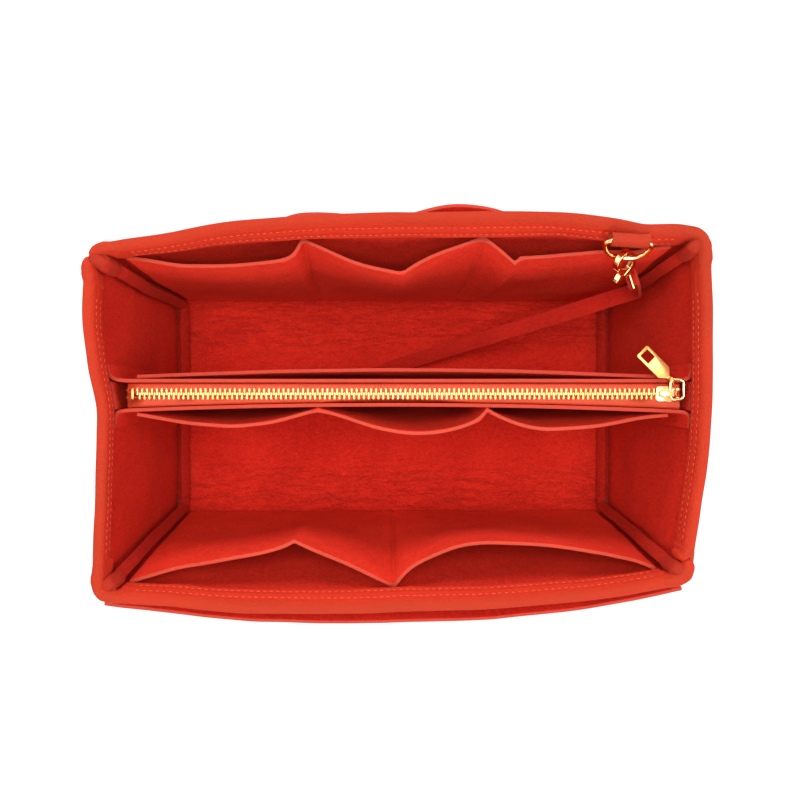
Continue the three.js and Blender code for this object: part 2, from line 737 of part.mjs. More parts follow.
// One side's teeth, each a tapered bar gripping the cord that they share. The bars of the two sides
// are half a pitch apart, so that their heads stand side by side across the chain's middle.
function zipTeeth(side) {
  const out = faces[side];
  const shift = side === 'front' ? toothPitch / 2 : 0;
  const count = Math.floor((chainEnd - chainStart - shift) / toothPitch);
  const positions = [];
  const triangles = [];
  const ring = (x, y, halfHeight) => {
    const low = halfHeight;
    positions.push(x, chainY + out * y[0], chainZ - low[0]);
    positions.push(x, chainY + out * y[1], chainZ - low[1]);
    positions.push(x, chainY + out * y[1], chainZ + low[1]);
    positions.push(x, chainY + out * y[0], chainZ + low[0]);
    return positions.length / 3 - 4;
  };
  const quad = (a, b, c, d) => {
    const order = out > 0 ? [a, b, c, a, c, d] : [c, b, a, d, c, a];
    triangles.push(...order);
  };
  const cordY = [toothBack - cordInset - cordSize, toothBack - cordInset];
  const cordHalf = [cordSize / 2, cordSize / 2];
  const toothY = [-toothReach, toothBack];
  const toothHalf = [toothHeadHeight / 2, toothBackHeight / 2];
  let cordBefore = null;
  const tube = (from, to) => {
    for (let step = 0; step < 4; step += 1) {
      const next = (step + 1) % 4;
      quad(from + step, from + next, to + next, to + step);
    }
  };
  for (let tooth = 0; tooth < count; tooth += 1) {
    const x = chainStart + shift + toothPitch * (tooth + 0.5);
    const sections = [-1, 1].map((way) => {
      const body = positions.length / 3;
      const headX = x + way * (toothHeadWidth / 2);
      const backX = x + way * (toothBackWidth / 2);
      positions.push(headX, chainY + out * toothY[0], chainZ - toothHalf[0]);
      positions.push(backX, chainY + out * toothY[1], chainZ - toothHalf[1]);
      positions.push(backX, chainY + out * toothY[1], chainZ + toothHalf[1]);
      positions.push(headX, chainY + out * toothY[0], chainZ + toothHalf[0]);
      const slope = (toothBackWidth - toothHeadWidth) / 2 / (toothBack + toothReach);
      const cordX = (y) => x + way * (toothHeadWidth / 2 + slope * (y + toothReach));
      const cord = ring(0, cordY, cordHalf);
      [cordY[0], cordY[1], cordY[1], cordY[0]].forEach((y, index) => {
        positions[(cord + index) * 3] = cordX(y);
      });
      return { body, cord };
    });
    const [start, finish] = sections;
    tube(start.body, finish.body);
    for (let step = 0; step < 4; step += 1) {
      const next = (step + 1) % 4;
      quad(start.cord + step, start.cord + next, start.body + next, start.body + step);
      quad(finish.body + step, finish.body + next, finish.cord + next, finish.cord + step);
    }
    if (cordBefore !== null) tube(cordBefore, start.cord);
    if (tooth === 0) quad(start.cord + 3, start.cord + 2, start.cord + 1, start.cord);
    if (tooth === count - 1) quad(finish.cord, finish.cord + 1, finish.cord + 2, finish.cord + 3);
    cordBefore = finish.cord;
  }
  const geometry = new THREE.BufferGeometry();
  geometry.setAttribute('position', new THREE.Float32BufferAttribute(positions, 3));
  geometry.setIndex(triangles);
  return geometry;
}

// The slider: two plates joined by a wedge between its two mouths, walls that hold the teeth and
// leave a slot for each tape, and a bridge over the top for the pull's link.
function zipSlider() {
  const s = slider;
  const half = s.halfWidth;
  const plateShape = () => outline([
    [0, -half + s.wall],
    [s.wall, -half],
    [s.length * sliderShares.waist, -half],
    [s.length * sliderShares.lobe, -s.lobe],
    [s.length - s.wall, -s.lobe + s.wall],
    [s.length, -half + s.wall * 2],
    [s.length - s.wall, 0],
    [s.length, half - s.wall * 2],
    [s.length - s.wall, s.lobe - s.wall],
    [s.length * sliderShares.lobe, s.lobe],
    [s.length * sliderShares.waist, half],
    [s.wall, half],
    [0, half - s.wall],
  ]);
  const reach = s.channel / 2 + s.plate / 2;
  const plates = [-reach, reach].map((z) => prism(plateShape(), s.plate, z));
  const wallHeight = (s.channel - s.tapeSlot) / 2 + s.plate / 2;
  const wallZ = s.tapeSlot / 2 + wallHeight / 2;
  const walls = [-1, 1].flatMap((y) => [-1, 1].map((z) => {
    const shape = outline([
      [s.wall, y * (half - s.wall)],
      [s.length * sliderShares.waist, y * (half - s.wall)],
      [s.length * sliderShares.lobe, y * (s.lobe - s.wall)],
      [s.length * sliderShares.lobe, y * (s.lobe - s.wall / 4)],
      [s.length * sliderShares.waist, y * (half - s.wall / 4)],
      [s.wall, y * (half - s.wall / 4)],
    ]);
    return prism(shape, wallHeight, z * wallZ);
  }));
  const wedge = outline([
    [s.length * sliderShares.wedgeStart, 0],
    [s.length * sliderShares.wedgeMiddle, -s.wedgeWidth / 2],
    [s.length - s.wall - s.wall / 2, 0],
    [s.length * sliderShares.wedgeMiddle, s.wedgeWidth / 2],
  ]);
  const post = prism(wedge, s.channel + s.plate, 0);
  const top = s.channel / 2 + s.plate;
  const from = s.bridgeStart;
  const to = s.bridgeEnd;
  const rise = s.bridgeHeight;
  const bar = s.bridgeBar;
  const arch = outline([
    [from, top - s.plate / 2],
    [from, top + rise * sliderShares.shoulder],
    [from + rise * sliderShares.crown, top + rise],
    [to - rise * sliderShares.brow, top + rise],
    [to, top + rise - rise * sliderShares.brow],
    [to, top - s.plate / 2],
    [to - bar, top - s.plate / 2],
    [to - bar, top + rise - bar],
    [from + bar, top + rise - bar],
    [from + bar, top - s.plate / 2],
  ]);
  const bridge = prism(arch, s.bridgeWidth, 0).rotateX(Math.PI / 2);
  return join(...plates, ...walls, post, bridge).translate(sliderStart, chainY, chainZ);
}

// The oval link lies flat, one long side under the slider's bridge.
const linkZ = chainZ + slider.channel / 2 + slider.plate + runningGap + link.wire / 2;
const linkReach = slider.bridgeEnd - slider.bridgeBar - runningGap - link.wire / 2;
const linkPivot = vec(sliderStart + linkReach, chainY, linkZ);
const linkCentre = linkPivot.clone().add(vec(link.width / 2, link.length / 2 - link.below, 0));
const linkCorner = vec(link.width / 2 - link.corner, link.length / 2 - link.corner, 0);
function pullLink() {
  const points = [];
  const turns = 4;
  [[1, 1], [-1, 1], [-1, -1], [1, -1]].forEach(([wayX, wayY], quarter) => {
    for (let step = 0; step <= turns; step += 1) {
      const angle = (Math.PI / 2) * (quarter + step / turns);
      const centre = vec(wayX * linkCorner.x, wayY * linkCorner.y, 0);
      points.push(centre.add(vec(link.corner * Math.cos(angle), link.corner * Math.sin(angle), 0)));
    }
  });
  return wireLoop(points, vec(0, 0, 1), link.wire, wireSides);
}

// The pull: an eye round the link's wire and a plate with a window near its free end.
const pullAngle = 135;
function zipPull() {
  const inner = link.wire / 2 + runningGap;
  const outer = inner + pull.eyeWall;
  const eyeShape = new THREE.Shape().absarc(0, 0, outer, 0, 2 * Math.PI, false);
  eyeShape.holes.push(new THREE.Path().absarc(0, 0, inner, 0, 2 * Math.PI, true));
  const eye = prism(eyeShape, pull.eyeWidth, 0, 7).rotateX(Math.PI / 2);
  const start = outer - pull.eyeWall / 2;
  const end = pull.length;
  const half = pull.width / 2;
  const corner = pull.margin;
  const neck = pull.eyeWidth / 2;
  const plateShape = outline([
    [start, -neck],
    [start + neck, -neck],
    [start + half, -half],
    [end - corner / 2, -half],
    [end, -half + corner / 2],
    [end, half - corner / 2],
    [end - corner / 2, half],
    [start + half, half],
    [start + neck, neck],
    [start, neck],
  ]);
  const windowShape = new THREE.Path([
    new THREE.Vector2(end - corner - pull.window, -half + corner),
    new THREE.Vector2(end - corner, -half + corner),
    new THREE.Vector2(end - corner, half - corner),
    new THREE.Vector2(end - corner - pull.window, half - corner),
  ]);
  plateShape.holes.push(windowShape);
  return join(eye, prism(plateShape, pull.thickness, 0));
}

// The ring tab: a strip folded over the ring's straight bar, both tails sewn to the hem below it.
const ringTurn = radians(ringTilt);
const ringAxis = vec(Math.cos(ringTurn), -Math.sin(ringTurn), 0);
const ringBack = vec(Math.sin(ringTurn), Math.cos(ringTurn), 0);
const tabRadius = ringWire / 2 + sewnGap + felt / 2;
const shareAt = (face, x, z) => {
  const left = cornerPoint(face, 'left', z).x;
  return (x - left) / (cornerPoint(face, 'right', z).x - left);
};
const ringBar = (() => {
  const half = tabWidth / 2;
  const rim = facePoint('back', shareAt('back', ringX + half, rimTurn), rimTurn, hemRadius);
  const reach = hemRadius + felt / 2 + sewnGap + tabRadius + felt / 2;
  const lift = radians(tabLift);
  const y = rim.y - reach * Math.cos(lift) + half * Math.tan(ringTurn);
  return vec(ringX, y, rim.z + reach * Math.sin(lift));
})();
function ringTab() {
  const plies = layer / 2;
  const open = Math.PI * 1.5;
  const throat = -tabRadius * Math.SQRT1_2 * 2 + plies;
  const tube = (way, back, up) => ringBar.clone()
    .addScaledVector(ringAxis, way * (tabWidth / 2))
    .addScaledVector(ringBack, back)
    .add(vec(0, 0, up));
  const tail = (way, ply) => {
    const x = ringX + way * (tabWidth / 2) * ringAxis.x;
    const z = ringBar.z + throat - tabTail;
    const depth = 2 * hemRadius + layer + ply * layer;
    return facePoint('back', shareAt('back', x, z), z, depth);
  };
  const rows = [-1, 1].map((way) => {
    const line = [tail(way, 0), tube(way, plies, throat)];
    for (let step = 0; step <= tabSteps; step += 1) {
      const angle = (Math.PI - open) / 2 + open * (step / tabSteps);
      line.push(tube(way, tabRadius * Math.cos(angle), tabRadius * Math.sin(angle)));
    }
    return [...line, tube(way, -plies, throat), tail(way, 1)];
  });
  return feltSolid([rows.reverse()]);
}

// The ring: a straight bar in the tab and a round bow that hangs into the box.
const hang = radians(ringHang);
const ringDown = ringBack.clone().multiplyScalar(-Math.cos(hang)).add(vec(0, 0, -Math.sin(hang)));
const ringLow = ringBar.clone().addScaledVector(ringDown, ringDrop);
function dRing() {
  const half = ringInnerWidth / 2 + ringWire / 2;
  const points = [];
  const steps = 9;
  for (let step = 0; step <= steps; step += 1) {
    const angle = -Math.PI * (step / steps);
    const across = Math.sign(Math.cos(angle)) * half * Math.abs(Math.cos(angle)) ** ringCurveShare;
    const down = ringDrop * Math.abs(Math.sin(angle)) ** ringCurveShare;
    points.push(ringBar.clone().addScaledVector(ringAxis, across).addScaledVector(ringDown, down));
  }
  const up = ringAxis.clone().cross(ringDown).normalize();
  return wireLoop(points, up, ringWire, wireSides);
}

// The snap hook, its hole's centre at the origin, its length along -Z and its gate on +X.
function snapHook() {
  const h = hook;
  const outer = h.holeRadius + h.bow;
  const low = -h.length;
  const shape = new THREE.Shape();
  shape.moveTo(-h.baseWidth / 2, low - h.base);
  shape.lineTo(h.baseWidth / 2, low - h.base);
  shape.lineTo(h.baseWidth / 2, low - runningGap);
  shape.lineTo(-h.bow / 2, low - runningGap);
  shape.lineTo(-h.holeRadius, low + h.bow);
  shape.absarc(0, 0, h.holeRadius, Math.PI, -radians(h.mouth), true);
  shape.absarc(0, 0, outer, -radians(h.mouth), Math.PI, false);
  shape.lineTo(-outer, low + h.bow);
  return prism(shape, h.thickness, 0, 7).rotateX(Math.PI / 2);
}

// The gate: a bar from its pivot on the hook's base up to the hook's tip, with a thumb lever.
function hookGate() {
  const h = hook;
  const foot = -h.length;
  const outer = h.holeRadius + h.bow;
  const top = -Math.sin(radians(h.mouth)) * outer - runningGap * 2;
  const lever = leverShares;
  const shape = outline([
    [h.gate / 2, foot + runningGap],
    [h.baseWidth / 2, foot + runningGap],
    [h.baseWidth / 2 + h.lever * lever.back, foot - h.gate * lever.toe],
    [h.baseWidth / 2 + h.lever * lever.tip, foot + h.gate],
    [h.baseWidth / 2 + h.lever * lever.neck, foot + h.gate * lever.thickness],
    [h.baseWidth / 2 + h.gate, foot + h.gate * lever.heel],
    [outer, top - h.gate],
    [outer, top],
    [outer - h.gate, top],
    [h.gate / 2, foot + h.gate],
  ]);
  return prism(shape, h.thickness * lever.thickness, 0).rotateX(Math.PI / 2);
}

// The swivel: a headed stem under the hook's base, and a loop whose straight bar holds the strap.
function swivelEye() {
  const s = swivel;
  const top = -hook.length - hook.base - runningGap;
  const collar = new THREE.CylinderGeometry(s.stem / 2, s.collar / 2, s.stem, 10);
  collar.rotateX(Math.PI / 2).translate(0, 0, top - s.stem / 2);
  const half = s.bar / 2 + s.wire / 2;
  const low = top - s.drop;
  const shoulder = top - s.stem - s.wire / 2;
  const points = [
    vec(-half, 0, low),
    vec(half, 0, low),
    vec(half, 0, low + s.drop * swivelShares.side),
    vec(s.stem / 2, 0, shoulder + s.wire * swivelShares.shoulder),
    vec(-s.stem / 2, 0, shoulder + s.wire * swivelShares.shoulder),
    vec(-half, 0, low + s.drop * swivelShares.side),
  ];
  return join(collar, wireLoop(points, vec(0, 1, 0), s.wire, wireSides));
}
const swivelBarDrop = hook.length + hook.base + runningGap + swivel.drop;

// The direction frame of a hook: its length runs from the ring down to the strap, and its gate faces
// the way that yaw gives, seen from above.
function hookFrame(downward, toward) {
  const up = downward.clone().negate().normalize();
  const gate = toward.clone().addScaledVector(up, -toward.dot(up)).normalize();
  const thick = up.clone().cross(gate);
  return new THREE.Matrix4().makeBasis(gate, thick, up);
}
const hookDown = vec(...hookLeanShares).normalize();
const hookYaw = radians(hook.yaw);
const hookToward = vec(-Math.sin(hookYaw), -Math.cos(hookYaw), 0);
const hookTurn = hookFrame(hookDown, hookToward);
const hookCentre = ringLow.clone()
  .addScaledVector(hookDown, hook.holeRadius - ringWire / 2 - ringSlack)
  .addScaledVector(hookToward, runningGap * 2);
const strapHeading = vec(...strapLeanShares, 0).normalize();
const strapAcross = vec(-strapHeading.y, strapHeading.x, 0);
const swivelTurn = hookFrame(hookDown, strapAcross);
const strapTop = hookCentre.clone().addScaledVector(hookDown, swivelBarDrop);

// The far hook lies flat on the floor under the pouch, its bar along Y.
const strapLoop = swivel.wire / 2 + sewnGap + felt / 2;
const farBarHeight = felt + sewnGap + felt / 2 + strapLoop;
const farHookHeight = felt + layer / 4 + hook.thickness / 2;
const farHookDown = vec(swivelBarDrop, 0, farBarHeight - farHookHeight).normalize();
const farHookTurn = hookFrame(farHookDown, vec(0, 1, 0));
const farStrapEnd = vec(farStrapX, farStrapY, farBarHeight);
const farHookCentre = farStrapEnd.clone().addScaledVector(farHookDown, -swivelBarDrop);

// The strap: from a loop on the near swivel's bar it hangs, bends and runs down to the floor, and
// ends in a loop on the far swivel's bar. Its free route is set by hand.
const strapRoute = [
  [138.5, 66.4, 108],
  [139.5, 65.8, 101],
  [134, 64.2, 93],
  [112, 57.8, 76],
  [84, 49.8, 55],
  [56, 41.8, 34],
  [30, 34.4, 15.5],
  [14, 29.8, 6.5],
  [0, 25.6, 3.7],
  [-20, 17.6, 3.6],
  [-40, 10.4, 3.8],
];
function keyStrap() {
  const loop = strapLoop;
  const stub = strapWidth * 0.9;
  const route = strapRoute.map(([x, y, z]) => vec(x, y, z));
  const nearAcross = vec(1, 0, 0).transformDirection(swivelTurn);
  const nearAlong = route[0].clone().sub(strapTop).normalize();
  const nearSide = nearAcross.clone().cross(nearAlong).normalize();
  const places = [];
  const nearAt = (along, side) => {
    const point = strapTop.clone().addScaledVector(nearAlong, along).addScaledVector(nearSide, side);
    places.push({ point, across: nearAcross });
  };
  nearAt(stub, -loop / 2 - layer / 2);
  nearAt(loop, -loop);
  for (let step = 0; step <= 4; step += 1) {
    const angle = Math.PI * (step / 4);
    nearAt(-loop * Math.sin(angle), -loop * Math.cos(angle));
  }
  nearAt(loop, loop);
  route.forEach((point, index) => {
    const before = route[index - 1] || strapTop;
    const after = route[index + 1] || farStrapEnd;
    const tangent = after.clone().sub(before).normalize();
    const heading = vec(tangent.x, tangent.y, 0).normalize();
    const flat = index === 0 ? strapHeading : heading;
    places.push({ point, across: vec(-flat.y, flat.x, 0) });
  });
  const farAcross = vec(0, -1, 0);
  const farAt = (x, z) => {
    places.push({ point: farStrapEnd.clone().add(vec(x, 0, z)), across: farAcross });
  };
  farAt(loop, loop);
  for (let step = 0; step <= 4; step += 1) {
    const angle = Math.PI * (step / 4);
    farAt(-loop * Math.sin(angle), loop * Math.cos(angle));
  }
  farAt(stub, -loop * 0.4);
  const rows = places.map(({ point, across }) => [-1, 1].map((way) => {
    return point.clone().addScaledVector(across, way * (strapWidth / 2));
  }));
  return feltSolid([rows]);
}

// Small metal stops at the zip's ends.
function zipStop(x, y, width) {
  return box(stopLength, width, toothBackHeight).translate(x, y, chainZ);
}

// Materials.
const feltRed = { color: 0xd8321c, roughness: 0.95, metalness: 0 };
const tapeOrange = { color: 0xe64a1e, roughness: 0.85, metalness: 0 };
const brass = { color: 0xe8b85a, roughness: 0.25, metalness: 1 };

const insert = new THREE.Group();
function add(name, geometry, finish, parent = insert) {
  const mesh = new THREE.Mesh(geometry, new THREE.MeshStandardMaterial(finish));
  mesh.name = name;
  parent.add(mesh);
  return mesh;
}
function place(turn, centre) {
  const group = new THREE.Group();
  group.quaternion.setFromRotationMatrix(turn);
  group.position.copy(centre);
  insert.add(group);
  return group;
}

add('body_wrap', bodyWrap(), feltRed);
for (const end of ['left', 'right']) {
  add(`${end}_side_panel`, sidePanel(end), feltRed);
  add(`${end}_seam_binding`, seamBinding(end), feltRed);
}
add('back_inner_pockets', innerPockets('back', backMouth), feltRed);
add('front_inner_pockets', innerPockets('front', frontMouth), feltRed);
const frontPouch = outerPockets('front', [], [outerFrontGape], outerFrontEndGape, outerOverhang);
add('front_outer_pocket', frontPouch, feltRed);
add('back_outer_pockets', outerPockets('back', outerBackSeamShares, outerBackGapes, 0, 0), feltRed);
add('ring_tab', ringTab(), feltRed);

for (const side of ['front', 'back']) {
  add(`divider_${side}_panel`, dividerPanel(side), feltRed);
  add(`zip_tape_${side}`, zipTape(side), tapeOrange);
  add(`zip_teeth_${side}`, zipTeeth(side), brass);
  const stopY = chainY + faces[side] * (toothBack - toothBackWidth / 2);
  const stopX = sliderStart + slider.length + stopLength;
  add(`zip_top_stop_${side}`, zipStop(stopX, stopY, stopWidth), brass);
}
add('divider_front_pockets', dividerFrontPockets(), feltRed);
add('divider_back_pocket', dividerBackPocket(), feltRed);
add('divider_left_end', dividerEnd('left'), feltRed);
add('divider_right_end', dividerEnd('right'), feltRed);
add('zip_bottom_stop', zipStop(chainStart - stopLength / 2 - sewnGap, chainY, 2 * toothBack), brass);
add('zip_slider', zipSlider(), brass);
add('zip_pull_link', pullLink().translate(...linkCentre.toArray()), brass);
const pullGroup = new THREE.Group();
pullGroup.position.copy(linkCentre).add(vec(-linkCorner.x, linkCorner.y, 0));
pullGroup.rotation.z = radians(pullAngle);
insert.add(pullGroup);
add('zip_pull', zipPull().translate(link.corner, 0, 0), brass, pullGroup);

add('d_ring', dRing(), brass);
const hookGroup = place(hookTurn, hookCentre);
add('snap_hook', snapHook(), brass, hookGroup);
add('hook_gate', hookGate(), brass, hookGroup);
add('swivel_eye', swivelEye(), brass, place(swivelTurn, hookCentre));
add('key_strap', keyStrap(), feltRed);
const keyGroup = place(farHookTurn, farHookCentre);
add('key_hook', snapHook(), brass, keyGroup);
add('key_gate', hookGate(), brass, keyGroup);
add('key_swivel', swivelEye(), brass, keyGroup);

export default insert;
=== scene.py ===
import math

import bmesh
import bpy
from mathutils import Matrix, Vector, noise
from mathutils.bvhtree import BVHTree


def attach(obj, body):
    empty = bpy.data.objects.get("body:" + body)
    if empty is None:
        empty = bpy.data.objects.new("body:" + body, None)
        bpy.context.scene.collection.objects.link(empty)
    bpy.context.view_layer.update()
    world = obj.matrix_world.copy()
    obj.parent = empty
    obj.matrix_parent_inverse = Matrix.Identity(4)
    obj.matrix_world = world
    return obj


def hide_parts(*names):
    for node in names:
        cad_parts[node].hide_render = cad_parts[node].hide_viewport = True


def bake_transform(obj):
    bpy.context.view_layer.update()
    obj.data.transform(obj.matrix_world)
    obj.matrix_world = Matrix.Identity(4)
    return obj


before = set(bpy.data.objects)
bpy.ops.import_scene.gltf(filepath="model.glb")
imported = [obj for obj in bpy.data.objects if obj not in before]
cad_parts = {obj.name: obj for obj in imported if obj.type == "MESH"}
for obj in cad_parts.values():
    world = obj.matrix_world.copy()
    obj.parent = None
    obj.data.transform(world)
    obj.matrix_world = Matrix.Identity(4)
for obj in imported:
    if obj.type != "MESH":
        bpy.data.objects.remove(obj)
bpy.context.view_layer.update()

# The camera looks straight down on the open insert, as the photograph does, from 0.65 m
# above the floor of the insert, a little right of and behind its middle.
lens = bpy.data.cameras.new("camera")
lens.sensor_width = 36
lens.lens = 43.2
lens.clip_start = 0.01
camera = bpy.data.objects.new("camera", lens)
camera.location = (0.0047, 0.0034, 0.648)
bpy.context.scene.collection.objects.link(camera)
bpy.context.scene.camera = camera
bpy.context.scene.view_settings.view_transform = "Standard"

# The studio: a white table top under the insert, white all round, and five soft lamps. The
# key lamp hangs overhead, and a low lamp on each side lights the walls and the hems.


class Wire:
    """One value in a material's node tree. Formulas are written with its operators."""

    def __init__(self, tree, socket):
        self.tree = tree
        self.socket = socket

    def add(self, kind, feeds, out=0, **settings):
        """Adds any other node, fed by these values, and gives one of its outputs."""
        node = self.tree.nodes.new(kind)
        for key, value in settings.items():
            setattr(node, key, value)
        for name, value in feeds.items():
            if isinstance(value, Wire):
                self.tree.links.new(value.socket, node.inputs[name])
            else:
                node.inputs[name].default_value = value
        return Wire(self.tree, node.outputs[out])

    def math(self, operation, *values):
        return self.add("ShaderNodeMath", dict(enumerate(values)), operation=operation)

    def __add__(self, other):
        return self.math("ADD", self, other)

    def __sub__(self, other):
        return self.math("SUBTRACT", self, other)

    def __rsub__(self, other):
        return self.math("SUBTRACT", other, self)

    def __mul__(self, other):
        return self.math("MULTIPLY", self, other)

    def sine(self):
        return self.math("SINE", self)

    def size(self):
        return self.math("ABSOLUTE", self)

    def step(self, low, high):
        """0 below low, 1 above high, smooth between."""
        feeds = {"Value": self, "From Min": low, "From Max": high}
        return self.add("ShaderNodeMapRange", feeds, interpolation_type="SMOOTHSTEP")

    def axes(self):
        split = self.add("ShaderNodeSeparateXYZ", {0: self})
        return [Wire(self.tree, s) for s in split.socket.node.outputs]

    def stretched(self, x, y, z):
        feeds = {0: self, 1: (x, y, z)}
        return self.add("ShaderNodeVectorMath", feeds, operation="MULTIPLY")

    def noise(self, scale, detail=2.0, rough=0.5, warp=0.0):
        feeds = {"Vector": self, "Scale": scale, "Detail": detail, "Roughness": rough}
        feeds["Distortion"] = warp
        return self.add("ShaderNodeTexNoise", feeds)

    def blend(self, low, high):
        """A colour between low and high, where this value is 0 and 1."""
        feeds = {0: self, 6: low, 7: high}
        return self.add("ShaderNodeMix", feeds, out=2, data_type="RGBA")

    def bump(self, depth, strength=1.0, under=None):
        feeds = {"Height": self, "Distance": depth, "Strength": strength}
        if under is not None:
            feeds["Normal"] = under
        return self.add("ShaderNodeBump", feeds)


def new_material(name):
    """A material, its main shader, and a point on the object as a Wire."""
    material = bpy.data.materials.new(name)
    material.use_nodes = True
    tree = material.node_tree
    shader = tree.nodes["Principled BSDF"]
    place = Wire(tree, tree.nodes.new("ShaderNodeTexCoord").outputs["Object"])
    return material, shader, place


def colour(red, green, blue):
    """A screen colour, 0 to 255, as the linear colour that shaders take."""
    return tuple(((v / 255 + 0.055) / 1.055) ** 2.4 for v in (red, green, blue)) + (1.0,)


def connect(shader, **sources):
    for name, source in sources.items():
        source.tree.links.new(source.socket, shader.inputs[name.replace("_", " ")])


def seen_rays(tree):
    """1 for the rays that show the background: to the camera, in metal and through glass."""
    rays = tree.nodes.new("ShaderNodeLightPath")
    camera_ray = Wire(tree, rays.outputs["Is Camera Ray"])
    mirrored = camera_ray.math("MAXIMUM", camera_ray, Wire(tree, rays.outputs["Is Glossy Ray"]))
    through = Wire(tree, rays.outputs["Is Transmission Ray"])
    return mirrored.math("MAXIMUM", mirrored, through)


def stage_material():
    """A pale matt table, which takes the object's shadow and turns plain white further off."""
    material, shader, place = new_material("white_table")
    tree = material.node_tree
    shader.inputs["Roughness"].default_value = 0.9
    tint = place.noise(3.0).blend(colour(240, 240, 240), colour(244, 244, 244))
    connect(shader, Base_Color=tint)
    white = tree.nodes.new("ShaderNodeEmission")
    white.inputs["Color"].default_value = (1.0, 1.0, 1.0, 1.0)
    white.inputs["Strength"].default_value = 1.0
    mixed = tree.nodes.new("ShaderNodeMixShader")
    far = place.add("ShaderNodeVectorMath", {0: place}, out=1, operation="LENGTH").step(0.5, 1.8)
    share = seen_rays(tree) * (far * 0.38 + 0.62)
    tree.links.new(share.socket, mixed.inputs[0])
    tree.links.new(shader.outputs[0], mixed.inputs[1])
    tree.links.new(white.outputs[0], mixed.inputs[2])
    tree.links.new(mixed.outputs[0], tree.nodes["Material Output"].inputs["Surface"])
    return material


def table_top():
    mesh = bpy.data.meshes.new("table_top")
    bm = bmesh.new()
    bmesh.ops.create_grid(bm, x_segments=1, y_segments=1, size=6.0)
    bm.to_mesh(mesh)
    bm.free()
    table = bpy.data.objects.new("table_top", mesh)
    bpy.context.scene.collection.objects.link(table)
    table.location.z = -0.0006
    mesh.materials.append(stage_material())


def lamp(name, place, target, width, watts, tint):
    light = bpy.data.lights.new(name, "AREA")
    light.shape = "DISK"
    light.size = width
    light.energy = watts
    light.color = tint
    holder = bpy.data.objects.new(name, light)
    holder.location = place
    aim = Vector(target) - Vector(place)
    holder.rotation_mode = "QUATERNION"
    holder.rotation_quaternion = aim.to_track_quat("-Z", "Y")
    bpy.context.scene.collection.objects.link(holder)


table_top()
lamp("key_lamp", (-0.02, 0.03, 1.85), (0, 0, 0.08), 1.1, 37.0, (1.0, 0.97, 0.93))
for side, x, y, watts in (
    ("front", 0.1, -1.5, 15.0), ("back", -0.1, 1.5, 18.0),
    ("left", -1.5, 0.1, 6.5), ("right", 1.5, -0.1, 12.0),
):
    lamp(side + "_lamp", (x, y, 0.9), (0, 0, 0.12), 0.9, watts, (1.0, 0.98, 0.97))
sky = bpy.data.worlds.new("sky")
bpy.context.scene.world = sky
sky.use_nodes = True
sky_shade = sky.node_tree.nodes["Background"]
sky_shade.inputs["Color"].default_value = (1.0, 1.0, 1.0, 1.0)
sky_light = 0.22
sky_strength = seen_rays(sky.node_tree) * (1.0 - sky_light) + sky_light
sky.node_tree.links.new(sky_strength.socket, sky_shade.inputs["Strength"])

# Felt box, front wall, floor and back wall. One piece of 2 mm pressed felt runs down the front
# wall, under the floor and up the back wall. Its rims fold inward as sewn hems, and its side
# edges turn in against the two end panels. The heights of the hems, their rows of stitches and
# the floor, and the places of the ring and the zip, are used by the pieces further down too.
hem_foot = (0.148, 0.157)
hem_top = (0.1645, 0.1705)
hem_rows = (0.1638, 0.1568)
floor_top = (0.004, 0.018)
ring_place = Vector((0.119, 0.080, 0.165))
zip_y = 0.0066


